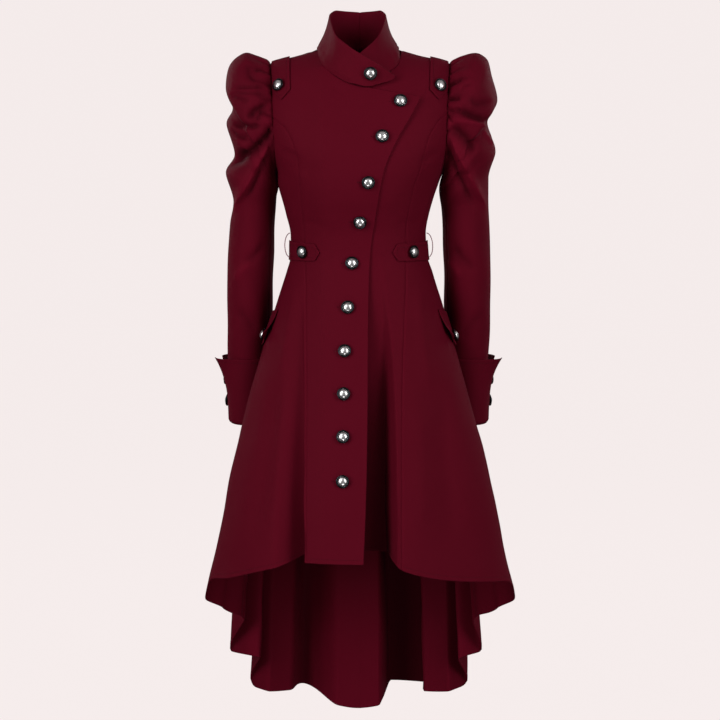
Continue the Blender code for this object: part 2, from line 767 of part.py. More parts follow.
def build_fronts():
    """The right front laps over the left front, with a lapel that points across the chest."""
    right_top = three_part(
        (
            reverse(polyline([LAPEL_NECK, LAPEL_TIP])),
            reverse(neck_path(RIGHT, 0, 5)),
            shoulder_line(RIGHT, NECK_SIDE, SHOULDER_POINT),
        ),
        (0.3, 0.7),
    )
    right_columns = [0.0, 0.1, 0.2, 0.3, 0.4, 0.5, 0.6, 0.7, 0.8, 0.9, 1.0]
    main_panel(
        "front_right", RIGHT, False, overlap_x, front_seam_x[RIGHT], right_top, right_columns, front_lift
    )
    left_top = three_part(
        (
            reverse(neck_path(LEFT, 4, 6)),
            reverse(neck_path(LEFT, 0, 4)),
            shoulder_line(LEFT, NECK_SIDE, SHOULDER_POINT),
        ),
        (0.3, 0.7),
    )
    left_columns = [
        0.0, 0.3, 0.36, 0.395, 0.43, 0.465, 0.5, 0.58, 0.64, 0.7, 0.75, 0.79, 0.83, 0.87, 0.91, 0.95, 1.0,
    ]
    main_panel(
        "front_left", LEFT, False, underlap_x, front_seam_x[LEFT], left_top, left_columns, front_tuck
    )


BACK_COLUMNS = {
    RIGHT: [0.0, 0.15, 0.28, 0.40, 0.51, 0.62, 0.74, 0.87, 1.0],
    LEFT: [0.0, 0.13, 0.21, 0.28, 0.45, 0.58, 0.66, 0.72, 0.86, 1.0],
}


def build_backs():
    nape = 0.005
    for side, word in ((RIGHT, "right"), (LEFT, "left")):
        def centre(height, side=side):
            return side * (SEAM_GAP / 2) + 0.0 * height

        neck = polyline([(side * SEAM_GAP / 2, nape), (side * 0.057, 0.0045), (side * 0.0778, NECK_SIDE)])
        shoulder = shoulder_line(side, NECK_SIDE, SHOULDER_POINT)
        top = joined(neck, shoulder, 0.58)
        main_panel(f"back_{word}", side, True, centre, back_seam_x, top, BACK_COLUMNS[side], no_lift)


def build_sides():
    near_fold = [0.0, 0.009, 0.02, 0.04, 0.08, 0.12, 0.16, 0.22, 0.32, 0.46, 0.64, 0.82, 1.0]
    near_back = [k / 26 for k in range(14)] + [0.56, 0.63, 0.72, 0.81, 0.9, 1.0]
    even = [k / 8 for k in range(9)]
    side_panel("side_front_right", RIGHT, False, near_fold, side_tuck)
    side_panel("side_front_left", LEFT, False, even, no_lift)
    side_panel("side_back_right", RIGHT, True, near_back, no_lift)
    side_panel("side_back_left", LEFT, True, near_back, no_lift)


# Collar

def collar_grid(side, count, lift):
    """Outer and inner points of one half of the collar, from the centre back to its front end."""
    outer, inner = [], []
    widths = [0.0, 0.35, 0.7, 1.0]
    places = np.linspace(0.0, count - 1.0, 2 * count - 1)
    index = np.arange(len(COLLAR))
    columns = [smooth_curve(index, [row[k] for row in COLLAR]) for k in range(1, 6)]
    last_back = sum(row.side == "back" for row in COLLAR) - 1

    def rail(place):
        lower_x, lower_z, upper_x, upper_y, upper_z = (column(place) for column in columns)
        lower_x = lower_x * (1.0 - COLLAR_BASE_SHIFT[side] * (1.0 - smoothstep(place - last_back)))
        low = body_point(angle_at(side * lower_x, lower_z, place <= last_back), lower_z)
        return low + np.array([0.0, 0.0, COLLAR_RISE]), np.array([side * upper_x * COLLAR_LEAN[side], upper_y, upper_z])

    def surface(place, width):
        low, high = rail(place)
        return low + (high - low) * width

    for width in widths:
        outer_row, inner_row = [], []
        for place in places:
            step = 0.02
            near = min(max(place, step), count - 1.0 - step)
            along = surface(near + step, width) - surface(near - step, width)
            low, high = rail(place)
            normal = np.cross(high - low, along) * side
            normal /= np.linalg.norm(normal)
            bow = COLLAR_BOW * math.sin(math.pi * width) * (1.0 - smoothstep((place - 4.0) / 2.0))
            over = COLLAR_GAP + lift * smoothstep((place - 3.5) / 2.5)
            point = surface(place, width) + normal * (bow + over)
            outer_row.append(point)
            inner_row.append(point - normal * CLOTH)
        outer.append(outer_row)
        inner.append(inner_row)
    outer, inner = np.array(outer), np.array(inner)
    for points in (outer, inner):
        points[:, 0, 0] = side * SEAM_GAP / 2
    return outer, inner


def build_collar():
    shell("collar_right", *collar_grid(RIGHT, len(COLLAR), COLLAR_OVER_LIFT))
    shell("collar_left", *collar_grid(LEFT, COLLAR_UNDER_SECTIONS, COLLAR_UNDER_LIFT))


# Sleeves

gather_height = smooth_curve([row.ring for row in GATHER_HEIGHTS], [row.height for row in GATHER_HEIGHTS])


def armhole_point(side, turn):
    """The armhole's edge on the body: 0 degrees is the shoulder, 90 the front, 180 the underarm."""
    cosine = np.cos(np.radians(turn))
    height = (SHOULDER_POINT + UNDERARM) / 2 + (SHOULDER_POINT - UNDERARM) / 2 * cosine
    x = armhole_x(height)
    front = np.sin(np.radians(turn)) > 0
    angle = np.where(front, angle_at(x, height), angle_at(x, height, True))
    points = body_point(angle, height)
    points[..., 0] = side * (points[..., 0] + SEAM_GAP + 0.0002)
    return points


def sleeve_surface(side):
    """The sleeve's outer face as a function of the turn round the arm and the ring along it."""
    rings = SLEEVE_RINGS[side]
    curves = [smooth_curve(np.arange(len(rings)), [ring[k] for ring in rings]) for k in range(6)]

    def plain(turn, ring):
        outer_x, outer_z, inner_x, inner_z, depth, middle = (curve(ring) for curve in curves)
        c = np.cos(np.radians(turn))
        s = np.sin(np.radians(turn))
        x = (outer_x + inner_x) / 2 + (outer_x - inner_x) / 2 * c
        z = (outer_z + inner_z) / 2 + (outer_z - inner_z) / 2 * c
        return np.stack([side * x, middle - depth * s, z], axis=-1)

    def surface(turn, ring):
        fade = 1.0 - smoothstep(np.asarray(ring) / SLEEVE_FADE)
        start = armhole_point(side, turn) - plain(turn, 0.0 * np.asarray(turn))
        return plain(turn, ring) + fade[..., None] * start

    return surface


def ring_outward(side, turn, ring):
    """The direction straight out from the arm within a ring."""
    rings = SLEEVE_RINGS[side]
    index = np.arange(len(rings))
    span_x = smooth_curve(index, [row.outer_x - row.inner_x for row in rings])(ring)
    span_z = smooth_curve(index, [row.outer_z - row.inner_z for row in rings])(ring)
    c = np.cos(np.radians(turn))
    s = np.sin(np.radians(turn))
    length = np.hypot(span_x, span_z)
    return np.stack([side * c * span_x / length, -s, c * span_z / length], axis=-1)


def sleeve_normal(surface, side, turn, ring):
    inside = np.clip(ring, 0.02, len(SLEEVE_RINGS[side]) - 1.02)
    return normal_of(surface, turn, inside, 1.0, 0.02) * side


def sleeve_panel(name, side, span, columns, gathered):
    surface = sleeve_surface(side)
    gap = SLEEVE_SEAM_GAP / 2
    turns = np.linspace(span[0] + gap, span[1] - gap, columns + 1)
    turn, ring = np.meshgrid(turns, np.array(SLEEVE_ROWS, float))
    normal = sleeve_normal(surface, side, turn, ring)
    points = surface(turn, ring)
    if gathered:
        fade = 1.0 - smoothstep((np.abs(turn) - 100.0) / 35.0)
        wave = np.where(np.arange(columns + 1) % 2 == 0, 1.0, -1.0)
        points = points + (gather_height(ring) * fade * wave)[..., None] * ring_outward(side, turn, ring)
    shell(name, points, points - CLOTH * normal)


def build_sleeves():
    for side, word in ((RIGHT, "right"), (LEFT, "left")):
        sleeve_panel(f"sleeve_top_{word}", side, TOP_SLEEVE, 2 * GATHERS, True)
        sleeve_panel(f"sleeve_under_{word}", side, UNDER_SLEEVE, 6, False)


def cuff_flare(turn, share):
    """How far the cuff's top corners flare out beside the slit."""
    from_front = turn - CUFF_SLIT
    from_back = 360.0 - CUFF_SLIT - turn
    front = CUFF_FLARE_FRONT * np.exp(-((from_front / CUFF_FLARE_SPREAD) ** 2))
    back = CUFF_FLARE_BACK * np.exp(-((from_back / CUFF_FLARE_SPREAD) ** 2))
    return (front + back) * share ** 4


def build_cuffs():
    for side, word in ((RIGHT, "right"), (LEFT, "left")):
        surface = sleeve_surface(side)
        turns = np.linspace(CUFF_SLIT, 360.0 - CUFF_SLIT, 25)
        shares = np.array([0.0, 0.3, 0.55, 0.75, 0.9, 1.0])
        turn, share = np.meshgrid(turns, shares)
        ring = CUFF_BOTTOM_RING + (CUFF_TOP_RING - CUFF_BOTTOM_RING) * share
        normal = sleeve_normal(surface, side, turn, ring)
        inner = surface(turn, ring) + (CUFF_GAP + cuff_flare(turn, share))[..., None] * normal
        shell(f"cuff_{word}", inner + CLOTH * normal, inner)


# Tabs and flaps that lie on the panels

def overlay(name, angle, height, gap):
    """A piece that lies on the body, made from the body's points moved out."""
    shell(name, body_out(angle, height, gap + CLOTH), body_out(angle, height, gap))


def build_waist_tabs():
    """Pointed tabs from the side seams towards the front, at the waist."""
    tips = {RIGHT: -0.0712, LEFT: 0.0580}
    middle = -0.3615
    point_length = 0.009
    for side, word in ((RIGHT, "right"), (LEFT, "left")):
        tip_angle = float(angle_at(tips[side], middle))
        end_angle = -177.5 if side == RIGHT else -2.5
        along = np.array([0.0, 0.1, 0.25, 0.4, 0.55, 0.7, 0.85, 1.0])
        across = np.array([-1.0, -0.5, 0.0, 0.5, 1.0])
        share, part = np.meshgrid(along, across)
        half = TAB_HALF_WIDTH - 0.0025 * (1.0 - share)
        height = middle + half * part
        cut = np.degrees(point_length / 0.11) * np.abs(part) * (1.0 - share)
        toward_end = -side if side == RIGHT else side
        angle = tip_angle + (end_angle - tip_angle) * share + side * cut * np.sign(toward_end)
        gap = OVERLAY_GAP + (front_lift(body_point(angle, height)[..., 0], height) if side == RIGHT else 0.0)
        overlay(f"waist_tab_{word}", angle, height, gap + 0.0 * angle)


def build_shoulder_tabs():
    """Pointed tabs from the shoulder seam down the front, beside the armhole."""
    for side, word in ((RIGHT, "right"), (LEFT, "left")):
        along = np.array([0.0, 0.03, 0.09, 0.2, 0.36, 0.55, 0.75, 1.0])
        across = np.array([-1.0, -0.5, 0.0, 0.5, 1.0])
        share, part = np.meshgrid(along, across)
        middle = 0.1425 - 0.0035 * share
        x = middle + 0.0155 * part
        top = np.interp(x, [0.078, 0.105, 0.163], [0.002, -0.0085, SHOULDER_POINT])
        bottom = -0.0905 + 0.0170 * np.abs(part)
        height = top + (bottom - top) * share
        angle = angle_at(side * x, height)
        gap = OVERLAY_GAP + (front_lift(side * x, height) if side == RIGHT else 0.0 * x)
        overlay(f"shoulder_tab_{word}", angle, height, gap)


FLAP_TOP = -0.474
FLAP_MIDDLE_ANGLE = {RIGHT: 4.0, LEFT: 9.0}
FLAP_HALF_ANGLE = 15.5
FLAP_CORNER_DROP = 0.046
FLAP_POINT_DROP = 0.062
FLAP_CURL = 0.012


def flap_place(side, share, part):
    """Angle, height and stand-off on a pocket flap: share runs down it, part from front to back."""
    drop = FLAP_POINT_DROP + (FLAP_CORNER_DROP - FLAP_POINT_DROP) * np.abs(part)
    turn = FLAP_MIDDLE_ANGLE[side] - FLAP_HALF_ANGLE * part
    angle = -turn if side == LEFT else turn - 180.0
    curl = FLAP_CURL * smoothstep((-part - 0.35) / 0.65) * share ** 2
    return angle, FLAP_TOP - 0.006 * part - drop * share, OVERLAY_GAP + 0.0012 * share + curl


def build_pocket_flaps():
    for side, word in ((RIGHT, "right"), (LEFT, "left")):
        share, part = np.meshgrid(np.linspace(0.0, 1.0, 5), np.linspace(-1.0, 1.0, 9))
        angle, height, gap = flap_place(side, share, part)
        overlay(f"pocket_flap_{word}", angle, height, gap)


def build_belt_loops():
    """Thread loops at the side seams, standing off the waist."""
    top, bottom, reach, thread = -0.331, -0.3765, 0.0105, 0.0009
    for side, word in ((RIGHT, "right"), (LEFT, "left")):
        angle = 3.0 if side == LEFT else 177.0
        turns = np.linspace(0.0, math.pi, 11)
        heights = (top + bottom) / 2 + (top - bottom) / 2 * np.cos(turns)
        path = body_out(angle + 0.0 * turns, heights, 0.0014 + thread + reach * np.sin(turns))
        tube(f"belt_loop_{word}", path, thread, 6, "loop_thread")


# Buttons

ButtonRing = namedtuple("ButtonRing", "radius height")
BUTTON_PROFILE = [
    ButtonRing(0.46, 0.0),
    ButtonRing(1.00, 0.20),
    ButtonRing(0.84, 0.36),
    ButtonRing(0.62, 0.38),
    ButtonRing(0.38, 0.62),
]
BUTTON_SIDES = 9


def add_button(name, place, normal):
    """A domed button with a raised rim, its flat back towards the cloth."""
    bm = bmesh.new()
    rings = []
    for ring in BUTTON_PROFILE:
        corners = []
        for k in range(BUTTON_SIDES):
            turn = 2.0 * math.pi * k / BUTTON_SIDES
            radius = ring.radius * BUTTON_RADIUS
            corner = (radius * math.cos(turn), radius * math.sin(turn), ring.height * BUTTON_RADIUS)
            corners.append(bm.verts.new(corner))
        rings.append(corners)
    for low, high in zip(rings, rings[1:]):
        for k in range(BUTTON_SIDES):
            n = (k + 1) % BUTTON_SIDES
            bm.faces.new((low[k], low[n], high[n], high[k]))
    bm.faces.new(list(reversed(rings[0])))
    bm.faces.new(rings[-1])
    obj = add_object(name, bm, "button_metal", 30.0)
    turned = Vector(normal).to_track_quat("Z", "Y").to_matrix().to_4x4()
    obj.matrix_world = Matrix.Translation(Vector(place)) @ turned
    return obj


def button_on_body(name, angle, height, out):
    normal = body_normal(angle, height)
    add_button(name, body_out(angle, height, out + 0.0016), normal)


def build_buttons():
    for k, button in enumerate(FRONT_BUTTONS):
        out = float(front_lift(button.x, button.z))
        button_on_body(f"button_front_{k + 1:02d}", float(angle_at(button.x, button.z)), button.z, out)
    for side, word in ((RIGHT, "right"), (LEFT, "left")):
        on_tab = OVERLAY_GAP + CLOTH
        lift = float(front_lift(-0.142, -0.067)) if side == RIGHT else 0.0
        x = side * (0.1420 if side == RIGHT else 0.1400)
        button_on_body(f"button_shoulder_{word}", float(angle_at(x, -0.067)), -0.067, on_tab + lift)
        x = -0.1000 if side == RIGHT else 0.0925
        lift = float(front_lift(x, -0.361)) if side == RIGHT else 0.0
        button_on_body(f"button_waist_{word}", float(angle_at(x, -0.361)), -0.361, on_tab + lift)
        angle, height, gap = flap_place(side, 0.72, 0.0)
        button_on_body(f"button_pocket_{word}", angle, height, float(gap) + CLOTH)
        surface = sleeve_surface(side)
        for number, ring in ((1, 15.55), (2, 16.25)):
            turn = 360.0 - CUFF_SLIT - 11.0
            place = surface(np.float64(turn), np.float64(ring))
            normal = sleeve_normal(surface, side, np.float64(turn), np.float64(ring))
            share = (ring - CUFF_BOTTOM_RING) / (CUFF_TOP_RING - CUFF_BOTTOM_RING)
            out = CUFF_GAP + CLOTH + float(cuff_flare(turn, share)) + 0.0012
            add_button(f"button_cuff_{word}_{number}", place + normal * out, normal)


def build_collar_button():
    """The button near the end of the collar's upper half."""
    outer, _ = collar_grid(RIGHT, len(COLLAR), COLLAR_OVER_LIFT)
    column = 2 * 8
    row = 1
    along = outer[row, column + 1] - outer[row, column - 1]
    up = outer[row + 1, column] - outer[row, column]
    normal = np.cross(along, up)
    normal /= np.linalg.norm(normal)
    place = (outer[row, column] + outer[row + 1, column]) / 2 + normal * 0.0012
    add_button("button_collar", place, normal)


def main():
    for obj in list(bpy.data.objects):
        bpy.data.objects.remove(obj)
    build_fronts()
    build_backs()
    build_sides()
    build_collar()
    build_sleeves()
    build_cuffs()
    build_waist_tabs()
    build_shoulder_tabs()
    build_pocket_flaps()
    build_belt_loops()
    build_buttons()
    build_collar_button()


main()
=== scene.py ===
"""Looks of a long high-low coat with gathered sleeve heads, a slanting buttoned front and a crossed collar.

Metres, +Z up. The front faces -Y and the wearer's left is +X. The cloth follows the same cut as the solids,
at a finer step, with its creases, seams, sewing and buttons.
"""

import math
from collections import namedtuple

import bpy
import numpy as np
from mathutils import Matrix, Vector


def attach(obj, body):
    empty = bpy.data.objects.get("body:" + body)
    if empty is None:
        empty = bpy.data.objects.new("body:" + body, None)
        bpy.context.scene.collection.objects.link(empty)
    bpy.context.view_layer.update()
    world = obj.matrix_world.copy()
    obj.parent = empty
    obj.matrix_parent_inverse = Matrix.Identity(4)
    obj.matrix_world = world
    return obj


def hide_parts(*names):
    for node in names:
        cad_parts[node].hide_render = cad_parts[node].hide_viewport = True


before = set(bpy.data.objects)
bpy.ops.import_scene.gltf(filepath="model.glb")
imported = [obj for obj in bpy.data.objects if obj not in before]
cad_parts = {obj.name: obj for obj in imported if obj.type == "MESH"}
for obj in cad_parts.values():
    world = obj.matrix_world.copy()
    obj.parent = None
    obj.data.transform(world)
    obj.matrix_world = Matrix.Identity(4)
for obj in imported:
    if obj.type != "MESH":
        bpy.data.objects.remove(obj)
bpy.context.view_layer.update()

# Driving dimensions
CLOTH = 0.002
SEAM_GAP = -0.0004
OVERLAP_LIFT = 0.0032
LAPEL_CURL = 0.004
OVERLAY_GAP = 0.001
HIP = -0.45
CHEST = -0.25
UNDERARM = -0.215
SHOULDER_POINT = -0.0240
NECK_SIDE = 0.002
BUTTON_RADIUS = 0.0118
TAB_HALF_WIDTH = 0.0175
RIGHT, LEFT = -1, 1
SIDES = ((RIGHT, "right"), (LEFT, "left"))


def rows_of(kind, rows):
    """Rows of a table, with names for their columns."""
    return [kind(*row) for row in rows]


# Horizontal sections of the body, from the neck to below the hem
Section = namedtuple("Section", "height middle half_width front back squareness")
SECTIONS = rows_of(Section, [
    (0.012, -0.004, 0.062, 0.03, 0.054, 1.8), (0.002, -0.004, 0.074, 0.036, 0.062, 1.8),
    (-0.0085, -0.002, 0.104, 0.046, 0.074, 1.8), (-0.024, 0.0, 0.163, 0.06, 0.086, 1.85),
    (-0.035, 0.0, 0.1675, 0.072, 0.093, 2.05), (-0.07, 0.0, 0.172, 0.093, 0.103, 2.4),
    (-0.12, 0.0, 0.175, 0.114, 0.11, 2.65), (-0.17, 0.0, 0.167, 0.129, 0.11, 2.55),
    (-0.2, 0.0, 0.157, 0.133, 0.108, 2.4), (-0.215, 0.0, 0.152, 0.133, 0.107, 2.3),
    (-0.24, -0.0035, 0.1465, 0.13, 0.104, 2.2), (-0.265, -0.0045, 0.139, 0.124, 0.101, 2.15),
    (-0.295, -0.0045, 0.131, 0.113, 0.096, 2.15), (-0.335, -0.003, 0.124, 0.102, 0.091, 2.15),
    (-0.37, -0.0018, 0.125, 0.099, 0.092, 2.15), (-0.402, -0.001, 0.134, 0.104, 0.099, 2.1),
    (-0.447, -0.001, 0.149, 0.116, 0.115, 2.05), (-0.537, -0.0012, 0.178, 0.14, 0.143, 2.0),
    (-0.621, -0.0015, 0.203, 0.158, 0.165, 2.0), (-0.753, -0.0015, 0.238, 0.183, 0.195, 2.0),
    (-0.905, -0.001, 0.268, 0.209, 0.224, 2.0), (-1.02, 0.0, 0.2935, 0.226, 0.243, 2.0),
    (-1.32, 0.0, 0.315, 0.25, 0.28, 2.0),
])

# Flutes of the skirt: how far the cloth stands out (+) or in (-) at each angle, and the heights where that
# begins and is full
Flute = namedtuple("Flute", "angle stand_out start full")
FLUTES = rows_of(Flute, [
    (-180.0, -0.003, -0.4, -0.62), (-158.0, 0.004, -0.45, -1.0), (-135.0, 0.01, -0.45, -0.95),
    (-111.5, 0.006, -0.45, -0.92), (-89.0, 0.001, -0.45, -0.92), (-76.5, 0.008, -0.45, -0.92),
    (-50.0, -0.004, -0.45, -0.95), (-22.0, 0.006, -0.45, -0.95), (0.0, -0.003, -0.4, -0.62),
    (12.0, -0.026, -0.4, -0.62), (26.0, -0.042, -0.4, -0.62), (34.0, -0.034, -0.44, -0.8),
    (40.5, 0.01, -0.48, -1.12), (46.0, -0.026, -0.48, -1.15), (50.5, 0.03, -0.48, -1.2),
    (54.0, -0.01, -0.48, -1.15), (64.3, -0.012, -0.48, -1.1), (66.0, 0.046, -0.48, -1.1),
    (80.5, 0.046, -0.48, -1.1), (82.0, -0.042, -0.48, -1.1), (99.0, -0.04, -0.48, -1.1),
    (110.5, 0.032, -0.48, -1.12), (118.0, -0.006, -0.48, -1.2), (126.5, -0.006, -0.48, -1.2),
    (131.0, 0.029, -0.48, -1.2), (135.5, -0.026, -0.48, -1.15), (142.0, 0.024, -0.48, -1.12),
    (148.5, -0.034, -0.44, -0.8), (155.0, -0.042, -0.4, -0.62), (168.0, -0.026, -0.4, -0.62),
    (180.0, -0.003, -0.4, -0.62),
])

# The high-low hem, round the body
Hem = namedtuple("Hem", "angle height")
HEM = rows_of(Hem, [
    (-180.0, -1.018), (-163.0, -0.963), (-147.0, -0.947), (-135.0, -0.93), (-125.5, -0.917),
    (-118.0, -0.908), (-111.5, -0.9), (-89.0, -0.901), (-78.0, -0.9015), (-73.0, -0.914), (-65.0, -0.927),
    (-56.5, -0.937), (-47.0, -0.945), (-35.0, -0.953), (-20.0, -0.964), (0.0, -1.018), (18.0, -1.06),
    (34.0, -1.09), (40.5, -1.172), (46.0, -1.185), (51.5, -1.262), (60.0, -1.27), (67.0, -1.272),
    (79.4, -1.274), (82.0, -1.302), (91.0, -1.308), (98.5, -1.302), (110.5, -1.272), (120.0, -1.27),
    (129.5, -1.262), (135.5, -1.18), (141.5, -1.172), (148.0, -1.09), (162.0, -1.06), (180.0, -1.018),
])

# Lines drawn in the front view: the place across the body at each height
Across = namedtuple("Across", "height x")
ARMHOLE = rows_of(Across, [
    (-0.024, 0.163), (-0.0726, 0.1585), (-0.11, 0.1572), (-0.162, 0.1545), (-0.215, 0.152),
])
FRONT_SEAM = {
    RIGHT: rows_of(Across, [
        (-0.122, 0.1568), (-0.141, 0.133), (-0.171, 0.118), (-0.215, 0.108), (-0.25, 0.106),
        (-0.347, 0.0995), (-0.5, 0.0962), (-0.75, 0.0942), (-1.0, 0.093),
    ]),
    LEFT: rows_of(Across, [
        (-0.112, 0.1571), (-0.127, 0.141), (-0.159, 0.1217), (-0.21, 0.108), (-0.25, 0.095),
        (-0.33, 0.0822), (-0.377, 0.083), (-0.5, 0.0787), (-0.64, 0.074), (-0.77, 0.073), (-1.0, 0.072),
    ]),
}
BACK_SEAM = rows_of(Across, [
    (-0.115, 0.157), (-0.135, 0.138), (-0.17, 0.118), (-0.215, 0.105), (-0.25, 0.098), (-0.3, 0.087),
    (-0.375, 0.08), (-0.5, 0.098), (-0.7, 0.131), (-1.0, 0.168), (-1.32, 0.19),
])
OVERLAP_EDGE = rows_of(Across, [
    (-0.0892, 0.1049), (-0.1185, 0.0896), (-0.151, 0.0701), (-0.183, 0.0537), (-0.209, 0.043),
    (-0.2378, 0.0359), (-0.2703, 0.0306), (-0.3059, 0.0251), (-0.343, 0.0194), (-0.4, 0.0155),
    (-0.461, 0.0138), (-0.531, 0.0131), (-0.62, 0.0126), (-0.743, 0.011), (-0.81, 0.0092),
    (-0.867, 0.0068), (-1.0, 0.0),
])
UNDERLAP_EDGE = rows_of(Across, [
    (-0.074, -0.034), (-0.25, -0.03), (-0.38, -0.045), (-1.0, -0.052),
])
NECKLINE = rows_of(Across, [
    (-0.0006, 0.0745), (-0.025, 0.069), (-0.041, 0.053), (-0.053, 0.0354), (-0.064, 0.0141),
    (-0.0707, -0.0106), (-0.074, -0.034),
])
LAPEL_NECK = (0.0106, -0.0707)
LAPEL_TIP = (0.1049, -0.0892)

# Folds that run down beside an edge: how deep and wide they are at each height
Tuck = namedtuple("Tuck", "height depth width")
FRONT_TUCK = rows_of(Tuck, [
    (-0.36, 0.0, 0.022), (-0.44, 0.005, 0.034), (-0.53, 0.02, 0.045), (-0.62, 0.04, 0.05),
    (-0.745, 0.054, 0.054), (-0.9, 0.064, 0.06), (-1.0, 0.066, 0.065),
])
SIDE_TUCK = rows_of(Tuck, [
    (-0.45, 0.0, 0.03), (-0.6, 0.01, 0.036), (-0.75, 0.026, 0.044), (-0.9, 0.044, 0.052),
    (-1.0, 0.05, 0.056),
])
TUCK_START = 0.014
TUCK_WALL = 0.011
SIDE_TUCK_START = 0.003
SIDE_TUCK_WALL = 0.006
TUCK_RISE = 0.32

# Sections of the stand collar, from the centre back round to the front end
CollarSection = namedtuple("CollarSection", "side lower_x lower_z upper_x upper_y upper_z")
COLLAR = rows_of(CollarSection, [
    ("back", 0.0, 0.005, 0.0, 0.042, 0.069), ("back", 0.031, 0.005, 0.022, 0.0405, 0.0705),
    ("back", 0.057, 0.0045, 0.041, 0.03, 0.0715), ("back", 0.0775, 0.0022, 0.0535, 0.002, 0.06),
    ("front", 0.069, -0.025, 0.049, -0.036, 0.042), ("front", 0.053, -0.041, 0.0388, -0.064, 0.02),
    ("front", 0.0354, -0.053, 0.0176, -0.083, 0.001), ("front", 0.0141, -0.064, 0.0, -0.092, -0.0114),
    ("front", -0.0106, -0.0707, -0.0265, -0.096, -0.027),
    ("front", -0.036, -0.0645, -0.044, -0.091, -0.039),
    ("front", -0.0565, -0.059, -0.059, -0.0835, -0.05),
])
COLLAR_UNDER_SECTIONS = 8
COLLAR_BOW = -0.004
COLLAR_GAP = 0.0026
COLLAR_RISE = 0.0034
COLLAR_LEAN = {RIGHT: 1.0, LEFT: 0.84}
COLLAR_BASE_SHIFT = {RIGHT: 0.0, LEFT: 0.10}
COLLAR_OVER_LIFT = 0.006
COLLAR_UNDER_LIFT = -0.004

# Rings of the sleeves: the outer and inner end of each ring in the front view, its half depth and its
# middle. The two sleeves differ in where the ends lie.
SleeveRing = namedtuple("SleeveRing", "outer_x outer_z inner_x inner_z depth middle_y")
RING_SHAPES = [
    (-0.215, 0.072, 0.002), (-0.2185, 0.079, 0.004), (-0.222, 0.086, 0.006), (-0.2255, 0.091, 0.008),
    (-0.229, 0.094, 0.01), (-0.2325, 0.094, 0.012), (-0.2365, 0.091, 0.013), (-0.241, 0.084, 0.014),
    (-0.246, 0.084, 0.015), (-0.2525, 0.075, 0.018), (-0.264, 0.073, 0.021), (-0.287, 0.062, 0.026),
    (-0.322, 0.06, 0.031), (-0.386, 0.057, 0.04), (-0.494, 0.052, 0.058), (-0.575, 0.048, 0.074),
    (-0.64, 0.046, 0.081), (-0.694, 0.044, 0.085),
]
RING_ENDS = {
    RIGHT: [
        (0.1634, -0.024, 0.1524), (0.172, -0.018, 0.1527), (0.1877, -0.01, 0.1518),
        (0.2059, -0.004, 0.1511), (0.226, -0.014, 0.1505), (0.2395, -0.034, 0.15),
        (0.2447, -0.067, 0.1497), (0.2323, -0.1035, 0.1494), (0.2435, -0.1325, 0.1496),
        (0.2294, -0.187, 0.1508), (0.2462, -0.2217, 0.1538), (0.2338, -0.2748, 0.1556),
        (0.24, -0.3152, 0.158), (0.2459, -0.3816, 0.161), (0.2488, -0.493, 0.1645),
        (0.2494, -0.575, 0.169), (0.2478, -0.64, 0.179), (0.2465, -0.694, 0.185),
    ],
    LEFT: [
        (0.1634, -0.024, 0.1524), (0.172, -0.018, 0.1522), (0.1877, -0.01, 0.151),
        (0.2095, -0.0055, 0.15), (0.2315, -0.0169, 0.149), (0.2409, -0.0457, 0.148),
        (0.2504, -0.089, 0.147), (0.233, -0.1288, 0.1462), (0.24, -0.155, 0.1456),
        (0.2477, -0.1834, 0.1456), (0.2355, -0.2308, 0.1468), (0.2362, -0.2748, 0.1505),
        (0.2385, -0.3152, 0.153), (0.242, -0.3816, 0.1555), (0.2445, -0.493, 0.158),
        (0.243, -0.575, 0.164), (0.242, -0.64, 0.177), (0.2412, -0.694, 0.184),
    ],
}
SLEEVE_RINGS = {
    side: [SleeveRing(*end, *shape) for end, shape in zip(ends, RING_SHAPES)]
    for side, ends in RING_ENDS.items()
}
LAST_RING = len(RING_SHAPES) - 1.0
SLEEVE_FADE = 3.0
SLEEVE_SEWN_RING = 0.5
TOP_SLEEVE = (-140.0, 150.0)
UNDER_SLEEVE = (150.0, 220.0)
SLEEVE_SEAM_GAP = 1.2
SLEEVE_HEAD_RING = 11.0
SLEEVE_HEAD_STEP = 0.0024
TOP_SLEEVE_STEP = 0.0020
UNDER_SLEEVE_STEP = 0.0032
SLEEVE_ARM_STEP = 0.0072
SLEEVE_FRONT = 60.0
SLEEVE_RADIUS = 0.08
SLEEVE_EDGE_GAP = 0.1
GATHERS = 17
GATHER_END = (100.0, 35.0)
GATHER_DRAWS = [(0.9, 1.7), (0.7, 1.3), (-0.16, 0.16)]
FINE_GATHER = 0.0011
Gather = namedtuple("Gather", "ring height")
GATHER_HEIGHTS = rows_of(Gather, [
    (0.0, 0.0), (0.4, 0.0018), (1.0, 0.0026), (2.0, 0.0012), (3.2, 0.0), (17.0, 0.0),
])

# Turned-back cuffs
CUFF_TOP_RING = 14.9
CUFF_BOTTOM_RING = 16.95
CUFF_GAP = 0.0020
CUFF_SLIT = 9.0
CUFF_FLARE_FRONT = 0.021
CUFF_FLARE_BACK = 0.009
CUFF_FLARE_SPREAD = 38.0
CUFF_AROUND = 0.25
CUFF_DEEP = 0.125
CUFF_ROLL = 0.035
CUFF_ROLLED_IN = 0.25

